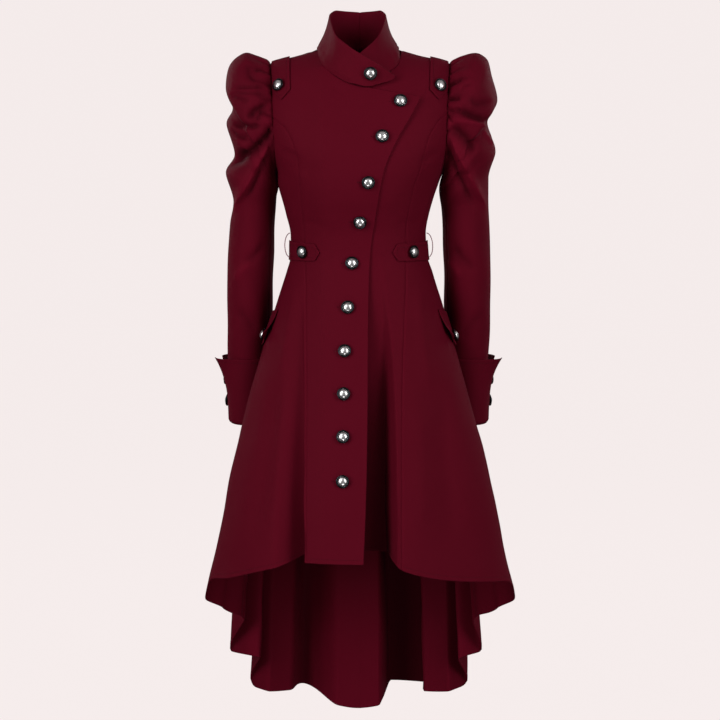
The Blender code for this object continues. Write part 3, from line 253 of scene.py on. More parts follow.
# Where the buttons sit in the front view
ButtonPlace = namedtuple("ButtonPlace", "x z")
FRONT_BUTTONS = rows_of(ButtonPlace, [
    (0.07, -0.0965), (0.0384, -0.157), (0.014, -0.2352), (0.0, -0.305), (-0.0141, -0.38),
    (-0.0212, -0.4575), (-0.0266, -0.533), (-0.0285, -0.607), (-0.0294, -0.681), (-0.03, -0.758),
])
TabButton = namedtuple("TabButton", "name right_x left_x z")
TAB_BUTTONS = rows_of(TabButton, [("shoulder", -0.142, 0.14, -0.067), ("waist", -0.1, 0.0925, -0.361)])
FLAP_BUTTON = 0.72
CUFF_BUTTON_TURN = 11.0
CUFF_BUTTON_RINGS = (15.55, 16.25)
COLLAR_BUTTON_SECTION = 8.0
COLLAR_BUTTON_SHARE = 0.52


# Numbers and curves

def smoothstep(value):
    value = np.clip(value, 0.0, 1.0)
    return value * value * (3.0 - 2.0 * value)


def rise(value, start, span):
    """From 0 at the start to 1 at the end of a span."""
    return smoothstep((value - start) / span)


def bell(distance, width):
    return np.exp(-((distance / width) ** 2))


def unit(vectors):
    return vectors / np.linalg.norm(vectors, axis=-1, keepdims=True)


def cos_sin(degrees):
    return np.cos(np.radians(degrees)), np.sin(np.radians(degrees))


def smooth_curve(keys, values):
    """A curve through the values that never overshoots them."""
    order = np.argsort(keys)
    keys = np.asarray(keys, float)[order]
    values = np.asarray(values, float)[order]
    steps = np.diff(keys)
    slopes = np.diff(values) / steps
    tangents = np.concatenate([slopes[:1], np.zeros(len(slopes) - 1), slopes[-1:]])
    rising = slopes[:-1] * slopes[1:] > 0
    both = np.where(rising, slopes[:-1] + slopes[1:], 1.0)
    tangents[1:-1] = np.where(rising, 2.0 * slopes[:-1] * slopes[1:] / both, 0.0)

    def at(key):
        key = np.clip(key, keys[0], keys[-1])
        i = np.clip(np.searchsorted(keys, key) - 1, 0, len(steps) - 1)
        u = (key - keys[i]) / steps[i]
        start = (1.0 + 2.0 * u) * (1.0 - u) ** 2 * values[i] + u * (1.0 - u) ** 2 * steps[i] * tangents[i]
        end = u * u * (3.0 - 2.0 * u) * values[i + 1] + u * u * (u - 1.0) * steps[i] * tangents[i + 1]
        return start + end

    return at


def curve_of(rows, key, value):
    """The curve of one column of a table over another."""
    return smooth_curve([getattr(row, key) for row in rows], [getattr(row, value) for row in rows])


section = {name: curve_of(SECTIONS, "height", name) for name in Section._fields[1:]}
hem_height = curve_of(HEM, "angle", "height")
armhole_x = curve_of(ARMHOLE, "height", "x")
front_seam_x = {side: curve_of(rows, "height", "x") for side, rows in FRONT_SEAM.items()}
back_seam_x = curve_of(BACK_SEAM, "height", "x")
overlap_x = curve_of(OVERLAP_EDGE, "height", "x")
underlap_x = curve_of(UNDERLAP_EDGE, "height", "x")
gather_height = curve_of(GATHER_HEIGHTS, "ring", "height")
tuck_curve = {
    (name, size): curve_of(rows, "height", size)
    for name, rows in (("front", FRONT_TUCK), ("side", SIDE_TUCK))
    for size in ("depth", "width")
}


# The body's surface

def flute_stand_out(angle, height):
    """How far the flutes move the cloth out at an angle in degrees and a height."""
    angle = (np.asarray(angle, float) + 180.0) % 360.0 - 180.0
    angles, amounts, starts, fulls = np.array(FLUTES).T
    i = np.clip(np.searchsorted(angles, angle, side="right") - 1, 0, len(FLUTES) - 2)

    def grown(k):
        return amounts[k] * smoothstep((starts[k] - height) / (starts[k] - fulls[k]))

    u = (angle - angles[i]) / (angles[i + 1] - angles[i])
    blend = 0.5 - 0.5 * np.cos(math.pi * u)
    return grown(i) * (1.0 - blend) + grown(i + 1) * blend


def body_point(angle, height):
    """A point of the cloth's outer face."""
    half_width = section["half_width"](height)
    squareness = section["squareness"](height)
    c, s = cos_sin(angle)
    depth = np.where(s < 0, section["front"](height), section["back"](height))
    x = half_width * np.sign(c) * np.abs(c) ** (2.0 / squareness)
    y = depth * np.sign(s) * np.abs(s) ** (2.0 / squareness)
    out_x = np.sign(c) * np.abs(x / half_width) ** (squareness - 1.0) / half_width
    out_y = np.sign(s) * np.abs(y / depth) ** (squareness - 1.0) / depth
    stand_out = flute_stand_out(angle, height) / np.hypot(out_x, out_y)
    x = x + section["middle"](height) + out_x * stand_out
    return np.stack([x, y + out_y * stand_out, height + 0.0 * x], axis=-1)


def normal_of(surface, u, v, du, dv):
    """Unit normal of a surface from points a little either side."""
    along_u = surface(u + du, v) - surface(u - du, v)
    along_v = surface(u, v + dv) - surface(u, v - dv)
    return unit(np.cross(along_u, along_v))


def body_normal(angle, height):
    return normal_of(body_point, angle, height, 0.5, 0.001)


def body_out(angle, height, out):
    return body_point(angle, height) + np.asarray(out)[..., None] * body_normal(angle, height)


def angle_at(x, height, back=False):
    """The angle at which the plain section is x across."""
    across = (x - section["middle"](height)) / section["half_width"](height)
    share = np.clip(np.abs(across), 0.0, 1.0) ** (section["squareness"](height) / 2.0)
    turn = np.degrees(np.arccos(np.sign(across) * share))
    return turn if back else -turn


def plain_x(angle, height):
    """How far across the plain section is at an angle."""
    c = np.cos(np.radians(angle))
    share = np.sign(c) * np.abs(c) ** (2.0 / section["squareness"](height))
    return section["middle"](height) + section["half_width"](height) * share


def front_tuck(x, height):
    """The left front's fold, which goes far in beside the edge that laps over it."""
    past = x - overlap_x(height)
    width = tuck_curve["front", "width"](height)
    share = smoothstep((past + TUCK_START) / TUCK_WALL) * smoothstep((width - past) / TUCK_WALL)
    return -tuck_curve["front", "depth"](height) * share


def side_tuck(x, height):
    """The right side front's fold, which goes in behind the edge of the right front."""
    past = -x - front_seam_x[RIGHT](height) - SIDE_TUCK_START
    width = tuck_curve["side", "width"](height)
    share = smoothstep(past / SIDE_TUCK_WALL) * (1.0 - smoothstep((past - SIDE_TUCK_WALL) / width))
    return -tuck_curve["side", "depth"](height) * share


def shoulder_x(side, height):
    """How far across the body reaches at a height, on one side."""
    return section["middle"](height) + side * section["half_width"](height)


# Finish of the cloth, in metres
EDGE_STEPS = np.array([0.0, 0.0006, 0.0014, 0.0026, 0.0044, 0.0066])
SEAM_DEPTH = 0.0012
SEAM_WIDTH = 0.0020
HEM_TURN = 0.0090
HEM_RISE = 0.0004
HEM_STEP = 0.0024
HEM_SEWN = HEM_TURN - 0.0016
HEM_DIP = 0.0004
HEM_DIP_WIDTH = 0.0011
TRIM_SEWN = 0.0042
FLAP_SEWN = 0.0048
CUFF_SEWN = 0.006
BUTTON_OUT = 0.0012
STITCH_LENGTH = 0.0026
STITCH_PITCH = 0.0034
STITCH_RADIUS = 0.00032
STITCH_BENDS = (0.22, 0.78)
STITCH_LIFT = 0.4

# Soft waves of the cloth: their size and height, and the seed of their draw
Waves = namedtuple("Waves", "size amount seed")
BODY_WAVES = Waves(0.05, 0.00025, 3)
SKIRT_WAVES = Waves(0.16, 0.0016, 5)
COLLAR_WAVES = Waves(0.05, 0.0004, 11)
SLEEVE_WAVES = Waves(0.07, 0.0006, 31)
CUFF_WAVES = Waves(0.06, 0.0005, 41)
WAVE_COUNT = 7
SKIRT_WAVES_SPAN = 0.35

# Painted shade in the folds and hollows, and painted light on flutes that stand in: the most each changes the
# cloth's colour, the depth where it begins and the depth over which it grows. The flutes' painted light grows
# below the low skirt; on the sleeves the relief, scaled and kept within a range, gives painted shade in
# troughs and painted highlight on ridges.
PaintedShading = namedtuple("PaintedShading", "most start span")
TUCK_PAINTED_SHADE = PaintedShading(0.5, 0.02, 0.04)
HOLLOW_PAINTED_SHADE = PaintedShading(0.55, 0.012, 0.03)
FLUTE_PAINTED_LIGHT = PaintedShading(0.25, -0.006, 0.03)
LOW_SKIRT = -0.6
LOW_SKIRT_SPAN = 0.2
SLEEVE_PAINTED_SHADING = -60.0
SLEEVE_PAINTED_SHADING_RANGE = (-0.2, 0.55)

# Where the right front lifts off the left one, and where its lapel curls out
LIFT_X, LIFT_X_SPAN = -0.095, 0.035
LIFT_TOP, LIFT_TOP_SPAN = -0.005, 0.04
CURL_X, CURL_LOW, CURL_SPAN = 0.02, -0.30, 0.10

# Folds of the sleeves: soft troughs (-) and ridges (+) along paths in the front view, with the widths of
# the left and right slopes of each path
Fold = namedtuple("Fold", "depth left_width right_width path")
SLEEVE_FOLDS = {
    RIGHT: rows_of(Fold, [
        (-0.0056, 0.0093, 0.0093, [(0.2024, -0.0206), (0.1947, -0.0451), (0.1787, -0.0591)]),
        (-0.0034, 0.0026, 0.0034, [(0.166, -0.04), (0.1779, -0.0358), (0.188, -0.043)]),
        (-0.005, 0.0051, 0.0031, [(0.16, -0.0687), (0.18, -0.0686), (0.2074, -0.0687), (0.233, -0.0716)]),
        (-0.0036, 0.0029, 0.0043, [
            (0.16, -0.0793), (0.1854, -0.0783), (0.2112, -0.0792), (0.233, -0.0786),
        ]),
        (-0.0034, 0.0043, 0.0051, [(0.195, -0.095), (0.2164, -0.0891), (0.236, -0.0841)]),
        (-0.0098, 0.0051, 0.0068, [(0.156, -0.097), (0.1706, -0.1028), (0.185, -0.11), (0.204, -0.127)]),
        (-0.0056, 0.0038, 0.0051, [
            (0.156, -0.111), (0.1689, -0.111), (0.1779, -0.1207), (0.183, -0.131),
        ]),
        (-0.0078, 0.0076, 0.0038, [
            (0.17, -0.1375), (0.1947, -0.1404), (0.2204, -0.1346), (0.233, -0.124),
        ]),
        (-0.0062, 0.0051, 0.0059, [(0.196, -0.16), (0.2218, -0.153), (0.237, -0.142)]),
        (-0.0133, 0.0068, 0.0102, [
            (0.154, -0.125), (0.1605, -0.1512), (0.1753, -0.1672), (0.1956, -0.1817), (0.2155, -0.1909),
            (0.24, -0.211),
        ]),
        (0.0087, 0.0102, 0.0043, [
            (0.153, -0.148), (0.1717, -0.1854), (0.1889, -0.22), (0.2168, -0.2681), (0.237, -0.303),
        ]),
        (-0.0062, 0.0043, 0.0068, [
            (0.16, -0.175), (0.1776, -0.2053), (0.1912, -0.2383), (0.211, -0.276),
        ]),
        (0.0042, 0.0068, 0.0085, [(0.196, -0.378), (0.217, -0.398), (0.234, -0.422)]),
        (-0.0036, 0.0068, 0.0068, [(0.17, -0.345), (0.192, -0.371), (0.22, -0.39)]),
        (-0.0025, 0.0093, 0.0093, [(0.19, -0.52), (0.209, -0.492), (0.235, -0.47)]),
    ]),
    LEFT: rows_of(Fold, [
        (-0.0064, 0.0043, 0.0031, [(0.157, -0.069), (0.169, -0.062), (0.183, -0.0525)]),
        (-0.0028, 0.0029, 0.0029, [(0.176, -0.069), (0.188, -0.066), (0.201, -0.0605)]),
        (-0.0067, 0.0031, 0.0031, [(0.155, -0.088), (0.166, -0.0895), (0.179, -0.089)]),
        (-0.007, 0.0043, 0.0031, [(0.152, -0.1095), (0.164, -0.11), (0.18, -0.1085)]),
        (-0.0042, 0.0027, 0.0027, [(0.151, -0.117), (0.158, -0.1225), (0.165, -0.133)]),
        (-0.005, 0.0076, 0.0076, [(0.19, -0.083), (0.2134, -0.099), (0.24, -0.091)]),
        (-0.0104, 0.0093, 0.0043, [(0.168, -0.109), (0.19, -0.118), (0.208, -0.1245), (0.234, -0.131)]),
        (0.0048, 0.0051, 0.0068, [(0.156, -0.123), (0.1712, -0.128), (0.1987, -0.1298), (0.233, -0.139)]),
        (-0.0084, 0.0093, 0.0093, [(0.156, -0.138), (0.17, -0.146), (0.1859, -0.1594), (0.211, -0.183)]),
        (0.0084, 0.0102, 0.0043, [
            (0.154, -0.14), (0.1768, -0.1887), (0.1951, -0.2272), (0.2187, -0.2692), (0.236, -0.296),
        ]),
        (-0.0064, 0.0043, 0.0068, [(0.15, -0.165), (0.1712, -0.2127), (0.1895, -0.2494), (0.21, -0.285)]),
        (0.0042, 0.0076, 0.0076, [(0.219, -0.142), (0.229, -0.156), (0.242, -0.172)]),
        (0.0039, 0.0068, 0.0085, [(0.159, -0.378), (0.174, -0.394), (0.185, -0.413)]),
        (-0.0034, 0.0068, 0.0068, [(0.165, -0.35), (0.188, -0.378), (0.215, -0.4)]),
        (-0.0025, 0.0093, 0.0093, [(0.185, -0.53), (0.207, -0.5), (0.235, -0.475)]),
    ]),
}
FOLD_SHARPNESS = 1.5
CREASE_TAPER = 0.28
BACK_FOLD_SHIFT = 0.012

# Creases drawn in the front view: a soft trough (-) or ridge (+) from one place to another, bowed to its
# left, with the widths of its left and right slopes
Crease = namedtuple("Crease", "start_x start_z end_x end_z bow depth left_width right_width")
FRONT_CREASES = rows_of(Crease, [
    (-0.148, -0.18, -0.1, -0.205, 0.006, -0.0022, 0.007, 0.012),
    (-0.142, -0.215, -0.085, -0.235, 0.005, 0.0016, 0.009, 0.012),
    (0.146, -0.185, 0.108, -0.21, -0.006, -0.0022, 0.008, 0.012),
    (-0.056, -0.066, -0.018, -0.09, 0.002, -0.0012, 0.005, 0.006),
    (-0.12, -0.308, -0.05, -0.318, 0.004, -0.0013, 0.007, 0.008),
    (0.115, -0.308, 0.06, -0.316, -0.004, -0.0013, 0.007, 0.008),
    (-0.115, -0.405, -0.15, -0.6, 0.004, 0.0022, 0.014, 0.014),
    (0.105, -0.41, 0.13, -0.62, -0.004, 0.0022, 0.014, 0.014),
    (-0.15, -0.56, -0.19, -0.9, 0.006, -0.004, 0.02, 0.024),
    (0.15, -0.57, 0.175, -0.9, -0.006, -0.0036, 0.02, 0.024),
    (0.1, -0.6, 0.105, -0.9, 0.004, 0.003, 0.02, 0.024),
])
BACK_CREASES = rows_of(Crease, [
    (-0.145, -0.17, -0.09, -0.205, 0.006, -0.0022, 0.008, 0.012),
    (0.145, -0.175, 0.095, -0.215, -0.006, -0.0022, 0.008, 0.012),
    (-0.11, -0.325, -0.025, -0.333, 0.004, -0.0016, 0.007, 0.009),
    (0.108, -0.318, 0.03, -0.329, -0.004, -0.0016, 0.007, 0.009),
    (-0.09, -0.356, -0.02, -0.35, 0.003, -0.0013, 0.006, 0.008),
    (0.095, -0.36, 0.015, -0.354, -0.003, -0.0013, 0.006, 0.008),
    (-0.055, -0.06, -0.085, -0.15, 0.005, 0.0012, 0.012, 0.014),
    (0.055, -0.062, 0.088, -0.155, -0.005, 0.0012, 0.012, 0.014),
])

# Colours of the finish: linear red, green and blue
Shade = namedtuple("Shade", "red green blue")
CLOTH_DARK = Shade(0.0620, 0.0013, 0.0062)
CLOTH_LIGHT = Shade(0.0820, 0.0021, 0.0092)
THREAD_COLOUR = Shade(0.0420, 0.0009, 0.0042)
LOOP_COLOUR = Shade(0.2400, 0.0500, 0.0800)
SILVER = Shade(0.74, 0.73, 0.73)
GUNMETAL = Shade(0.018, 0.020, 0.023)
BACKDROP = Shade(0.913, 0.838, 0.831)
WORLD_LOW = Shade(0.10, 0.095, 0.10)
WORLD_HIGH = Shade(0.80, 0.78, 0.78)
WORLD_STRENGTH = 0.4


# Paths in a plane, each a function of a share from 0 to 1

def pair(first, second):
    return np.stack(np.broadcast_arrays(first, second), axis=-1)


def smooth_path(points):
    """A path through points, run by its share of the length between them."""
    points = np.asarray(points, float)
    lengths = np.concatenate([[0.0], np.cumsum(np.linalg.norm(np.diff(points, axis=0), axis=1))])
    curves = [smooth_curve(lengths / lengths[-1], points[:, k]) for k in range(2)]
    return lambda share: pair(curves[0](share), curves[1](share))


def line_down(curve, low, high):
    """The line of a front-view curve between two heights, from low to high."""
    def at(share):
        height = low + (high - low) * np.asarray(share, float)
        return pair(curve(height), height)
    return at


def chained(paths, shares):
    """Paths end to end; each share is where the next path begins."""
    starts = [0.0, *shares]
    ends = [*shares, 1.0]

    def at(share):
        share = np.asarray(share, float)
        place = paths[0](np.clip(share / ends[0], 0.0, 1.0))
        for path, low, high in zip(paths[1:], starts[1:], ends[1:]):
            part = path(np.clip((share - low) / (high - low), 0.0, 1.0))
            place = np.where(np.expand_dims(share > low, -1), part, place)
        return place

    return at


def reverse(path):
    return lambda share: path(1.0 - np.asarray(share, float))


def coons(left, right, bottom, top, u, v):
    """Points of the patch between four edges in a plane."""
    across, up = u[..., None], v[..., None]
    ruled_u = (1 - across) * left(v) + across * right(v)
    ruled_v = (1 - up) * bottom(u) + up * top(u)
    left_corners = (1 - up) * left(0.0) + up * left(1.0)
    right_corners = (1 - up) * right(0.0) + up * right(1.0)
    return ruled_u + ruled_v - (1 - across) * left_corners - across * right_corners


def spread(length, step, first=True, last=True):
    """Shares of a length at an even step, closer together at its ends."""
    near = EDGE_STEPS if first else EDGE_STEPS[:1]
    far = length - (EDGE_STEPS if last else EDGE_STEPS[:1])[::-1]
    count = max(2, round((far[0] - near[-1]) / step))
    middle = np.linspace(near[-1], far[0], count + 1)[1:-1]
    return np.concatenate([near, middle, far]) / length


# Creases and the cloth's unevenness

def run_lengths(points, axis):
    """Lengths along the rows or columns of a grid of points, from its start."""
    steps = np.linalg.norm(np.diff(points, axis=axis), axis=-1)
    start = np.zeros_like(np.take(steps, [0], axis=axis))
    return np.concatenate([start, np.cumsum(steps, axis=axis)], axis=axis)


def crease_line(crease, count=30):
    """Places along a crease in the front view, with its share of the way."""
    share = np.linspace(0.0, 1.0, count)
    dx = crease.end_x - crease.start_x
    dz = crease.end_z - crease.start_z
    length = math.hypot(dx, dz)
    bow = crease.bow * np.sin(math.pi * share)
    x = crease.start_x + dx * share - bow * dz / length
    z = crease.start_z + dz * share + bow * dx / length
    return x, z, share


def crease_relief(points, normals, path, share, crease, sharpness=2.0):
    """How far one crease moves points of the cloth along their normals."""
    flat = points.reshape(-1, 3)
    reach = 3.0 * max(crease.left_width, crease.right_width)
    near = np.all((flat > path.min(axis=0) - reach) & (flat < path.max(axis=0) + reach), axis=1)
    relief = np.zeros(len(flat))
    if not near.any():
        return relief.reshape(points.shape[:-1])
    close = flat[near]
    steps = np.diff(path, axis=0)
    from_start = close[:, None, :] - path[None, :-1, :]
    part = np.einsum("vsk,sk->vs", from_start, steps) / (np.einsum("sk,sk->s", steps, steps) + 1e-12)
    part = np.clip(part, 0.0, 1.0)
    away = from_start - part[..., None] * steps[None]
    distance = np.linalg.norm(away, axis=-1)
    best = np.argmin(distance, axis=1)
    rows = np.arange(len(close))
    along = share[best] + part[rows, best] * (share[1] - share[0])
    left = np.cross(normals.reshape(-1, 3)[near], steps[best])
    on_left = np.einsum("vk,vk->v", left, away[rows, best]) > 0
    width = np.where(on_left, crease.left_width, crease.right_width)
    taper = smoothstep(along / CREASE_TAPER) * smoothstep((1.0 - along) / CREASE_TAPER)
    relief[near] = crease.depth * taper * np.exp(-((distance[rows, best] / width) ** sharpness))
    return relief.reshape(points.shape[:-1])


def unevenness(points, size, amount, seed):
    """Soft waves of about a size, the same each run."""
    draw = np.random.default_rng(seed)
    total = np.zeros(points.shape[:-1])
    for _ in range(WAVE_COUNT):
        direction = draw.normal(size=3)
        direction *= 2.0 * math.pi / (size * draw.uniform(0.7, 1.6) * np.linalg.norm(direction))
        total += np.sin(points @ direction + draw.uniform(0.0, 2.0 * math.pi))
    return amount * total / math.sqrt(WAVE_COUNT)


def body_creases():
    """The body's creases as paths on its surface."""
    made = []
    for creases, back in ((FRONT_CREASES, False), (BACK_CREASES, True)):
        for crease in creases:
            x, z, share = crease_line(crease)
            made.append((body_point(angle_at(x, z, back), z), share, crease))
    return made


BODY_CREASES = body_creases()


def body_relief(points, normals):
    relief = sum(crease_relief(points, normals, *crease) for crease in BODY_CREASES)
    skirt = smoothstep((HIP - points[..., 2]) / SKIRT_WAVES_SPAN)
    relief += unevenness(points, *BODY_WAVES)
    return relief + skirt * unevenness(points, *SKIRT_WAVES)


def dressed(angle, height, lift):
    """Points of the body's cloth with its creases, moved out by a lift, and their normals."""
    def face(angle, height):
        return body_out(angle, height, lift(plain_x(angle, height), height) if callable(lift) else lift)

    base = face(angle, height)
    normal = normal_of(face, angle, height, 0.25, 0.001)
    return base + body_relief(base, normal)[..., None] * normal, normal


# Meshes

def link(name, data):
    obj = bpy.data.objects.new(name, data)
    bpy.context.scene.collection.objects.link(obj)
    return obj


def circle(radius, height, sides):
    """Points round a level circle."""
    turns = 2.0 * math.pi * np.arange(sides) / sides
    return np.stack([radius * np.cos(turns), radius * np.sin(turns), np.full(sides, height)], axis=-1)


def ring_index(rings, sides, first=0):
    """Indices of points in rings that follow each other, and the faces between them."""
    index = first + np.arange(rings * sides).reshape(rings, sides)
    after = np.roll(index, -1, axis=1)
    quads = np.stack([index[:-1], after[:-1], after[1:], index[1:]], axis=-1)
    return index, quads.reshape(-1, 4).tolist()


def new_mesh(name, points, faces, materials, uv=None):
    mesh = bpy.data.meshes.new(name)
    mesh.from_pydata(points, [], faces)
    mesh.shade_smooth()
    for found in materials:
        mesh.materials.append(found)
    if uv is not None:
        corners = np.empty(len(mesh.loops), np.int32)
        mesh.loops.foreach_get("vertex_index", corners)
        layer = mesh.uv_layers.new(name="cut")
        layer.data.foreach_set("uv", uv[corners].astype(np.float32).ravel())
    return mesh


def cloth_mesh(name, outer, inner, free):
    """A wall between two grids. free says how round each edge is: bottom, right, top and left."""
    rows, columns = outer.shape[:2]
    count = rows * columns
    index = np.arange(count).reshape(rows, columns)
    a, b = index[:-1, :-1].ravel(), index[:-1, 1:].ravel()
    c, d = index[1:, 1:].ravel(), index[1:, :-1].ravel()
    quads = np.stack([a, b, c, d], axis=-1)
    rim = np.concatenate([index[0, :-1], index[:-1, -1], index[-1, :0:-1], index[:0:-1, 0]])
    beside = np.concatenate([index[1, :-1], index[:-1, -2], index[-2, :0:-1], index[:0:-1, 1]])
    sizes = [columns - 1, rows - 1, columns - 1, rows - 1]
    roundness = np.repeat(np.asarray(free, float), sizes)
    out_flat, in_flat = outer.reshape(-1, 3), inner.reshape(-1, 3)
    away = unit(out_flat[rim] - out_flat[beside])
    middle = (out_flat[rim] + in_flat[rim]) / 2 + away * (roundness * CLOTH / 2)[:, None]
    ring = 2 * count + np.arange(len(rim))
    following, after = np.roll(rim, -1), np.roll(ring, -1)
    faces = np.concatenate([
        quads,
        quads[:, ::-1] + count,
        np.stack([following, rim, ring, after], axis=-1),
        np.stack([after, ring, rim + count, following + count], axis=-1),
    ])
    turned = np.cross(out_flat[b] - out_flat[a], out_flat[d] - out_flat[a])
    if np.einsum("vk,vk->", turned, out_flat[a] - in_flat[a]) < 0:
        faces = faces[:, ::-1]
    points = np.concatenate([out_flat, in_flat, middle])
    across = run_lengths(outer, 1)
    across = across - across[:, columns // 2][:, None]
    up = run_lengths(outer, 0)[:, columns // 2][:, None] + 0.0 * across
    uv = np.stack([across, up], axis=-1).reshape(-1, 2)
    return new_mesh(name, points, faces.tolist(), [MATERIALS["cloth"]], np.concatenate([uv, uv, uv[rim]]))


def flat_size(outer):
    """Width, length and area of a grid of cloth laid flat."""
    first = np.cross(outer[:-1, 1:] - outer[:-1, :-1], outer[1:, :-1] - outer[:-1, :-1])
    second = np.cross(outer[1:, :-1] - outer[1:, 1:], outer[:-1, 1:] - outer[1:, 1:])
    area = 0.5 * (np.linalg.norm(first, axis=-1).sum() + np.linalg.norm(second, axis=-1).sum())
    width = run_lengths(outer, 1)[:, -1].max()
    length = run_lengths(outer, 0)[-1].max()
    return float(width), float(length), float(area)


def cloth_piece(node, outer, inner, free, deep=(0.0, 0.0)):
    """A piece of cloth that stands for a node of the same name. Its last argument is painted shade on its
    outer and inner faces, and painted light where it is below zero.
    """
    mesh = cloth_mesh(node, outer, inner, free)
    # Painted shade per point on the outer and inner faces, which the cloth's finish takes from its colour;
    # below zero it is painted light.
    layer = mesh.attributes.new("deep", "FLOAT", "POINT")
    amounts = np.zeros(len(mesh.vertices), np.float32)
    count = outer.shape[0] * outer.shape[1]
    amounts[:count] = np.broadcast_to(deep[0], outer.shape[:2]).ravel()
    amounts[count:2 * count] = np.broadcast_to(deep[1], outer.shape[:2]).ravel()
    layer.data.foreach_set("value", amounts)
    piece = link(f"{node}_cloth", mesh)
    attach(piece, "root")
    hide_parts(node)
    width, length, area = flat_size(outer)
    return piece


def groove(distance):
    return -SEAM_DEPTH * bell(distance, SEAM_WIDTH)


def hem_band(distance):
    """The turned-up hem: a little thicker, with a dip along its stitching."""
    band = HEM_RISE * smoothstep((HEM_TURN + HEM_STEP / 2 - distance) / HEM_STEP)
    return band - HEM_DIP * bell(distance - HEM_SEWN, HEM_DIP_WIDTH)


# Body panels

SKIRT_SHARES = spread(0.5, 0.0070, last=False)[:-1]
WAIST_HEIGHTS = np.linspace(HIP, CHEST, 36)[:-1]
UPPER_SHARES = spread(0.22, 0.0050, first=False)
SEAM_SHARE = 0.56
MAIN_PANEL_WIDTH = 0.20
MAIN_PANEL_STEP = 0.0034
FOLDED_PANEL_STEP = 0.0020
SIDE_PANEL_WIDTH = 0.15
SIDE_PANEL_STEP = 0.0022
SIDE_PANEL_CROWDING = 1.4
TOP_SEAM_SPAN = 0.02
BACK_NECK = [(SEAM_GAP / 2, 0.005), (0.057, 0.0045), (0.0712, NECK_SIDE)]
LAPEL_SHARE = 0.2
RIGHT_NECK_SHARE = 0.9
UNDERLAP_SHARE = 0.3
LEFT_NECK_SHARE = 0.86
BACK_NECK_SHARE = 0.74
WHOLE_TOP = -0.1
MAIN_HEM_GUESS = -1.0
SIDE_HEM_GUESS = -0.95
sewing_lines = {"hem": [], "trim": []}


def panel_domain(low_left, low_right, patch, columns, hem):
    """Places of a panel's grid: rows of the skirt, then the waist, then the patch above the chest."""
    u = columns[None, :]
    bottom = hem(columns)[None, :]
    skirt = bottom + (HIP - bottom) * SKIRT_SHARES[:, None]
    height = np.concatenate([skirt, WAIST_HEIGHTS[:, None] + 0.0 * u])
    across = low_left(height) * (1 - u) + low_right(height) * u
    return np.concatenate([pair(across, height), coons(*patch, u, UPPER_SHARES[:, None])])


def drawn_up(out):
    """How far a fold of this depth draws the hem up."""
    return TUCK_RISE * np.maximum(-out, 0.0)


# How strong the painted shade or painted light of a fold is at its depth.
def tone(kind, depth):
    return kind.most * rise(depth, kind.start, kind.span)


def panel_cloth(node, angle, height, lift, left_seam, top_seam, limit):
    """A panel's cloth, with its seams, hem and creases; limit keeps it on its side of the shoulder seam."""
    base, normal = dressed(angle, height, lift)
    across = run_lengths(base, 1)
    up = run_lengths(base, 0)
    relief = groove(across[:, -1:] - across) + hem_band(up) + top_seam * groove(up[-1:] - up)
    if left_seam:
        relief = relief + groove(across)
    outer = base + relief[..., None] * normal
    inner = base - CLOTH * normal
    for points in (outer, inner):
        limit(points)
    free = (1.0, 0.0, 0.0, 0.0 if left_seam else 1.0)
    sewing_lines["hem"].append(line_at(outer, normal, up, HEM_SEWN))
    # Painted shade on the outer face in the left front's tuck, painted shade on the inner face in the flutes'
    # hollows, and painted light on the inner face of flutes that stand in on the lower skirt.
    tuck_painted_shade = tone(TUCK_PAINTED_SHADE, -lift(plain_x(angle, height), height))
    stand_out = flute_stand_out(angle, height)
    hollow_painted_shade = tone(HOLLOW_PAINTED_SHADE, stand_out)
    lower_flute_painted_light = tone(FLUTE_PAINTED_LIGHT, -stand_out) * smoothstep((LOW_SKIRT - height) / LOW_SKIRT_SPAN)
    return cloth_piece(node, outer, inner, free, deep=(tuck_painted_shade, hollow_painted_shade - lower_flute_painted_light))


def line_at(points, normals, distance, wanted):
    """The line across a grid at a distance up its columns, with normals."""
    row = np.argmax(distance >= wanted, axis=0)
    columns = np.arange(points.shape[1])
    low, high = distance[row - 1, columns], distance[row, columns]
    part = ((wanted - low) / (high - low))[:, None]
    line = points[row - 1, columns] * (1 - part) + points[row, columns] * part
    return line, normals[row, columns]


def main_panel(node, side, back, inner_edge, seam, top, lift, left_seam, top_from, step=MAIN_PANEL_STEP):
    """A centre front or centre back panel: from its inner edge to the long seam and armhole."""
    def outer_edge(height):
        return side * (seam(height) - SEAM_GAP / 2)

    def arm(height):
        return side * armhole_x(height)

    def hem(u):
        height = np.full_like(u, MAIN_HEM_GUESS)
        for _ in range(6):
            x = inner_edge(height) * (1 - u) + outer_edge(height) * u
            height = hem_height(angle_at(x, height, back))
        return height + drawn_up(lift(x, height))

    def limit(points):
        y = points[..., 1]
        points[..., 1] = np.maximum(y, SEAM_GAP / 2) if back else np.minimum(y, -SEAM_GAP / 2)

    seam_top = (BACK_SEAM if back else FRONT_SEAM[side])[0].height
    outer = chained(
        [line_down(outer_edge, CHEST, seam_top), line_down(arm, seam_top, SHOULDER_POINT)], [SEAM_SHARE]
    )
    inner = line_down(inner_edge, CHEST, float(top(0.0)[1]))
    bottom = smooth_path([inner(0.0), outer(0.0)])
    columns = spread(MAIN_PANEL_WIDTH, step)
    domain = panel_domain(inner_edge, outer_edge, (inner, outer, bottom, top), columns, hem)
    x, height = domain[..., 0], domain[..., 1]
    top_seam = rise(columns, top_from, TOP_SEAM_SPAN)[None, :]
    panel_cloth(node, angle_at(x, height, back), height, lift, left_seam, top_seam, limit)


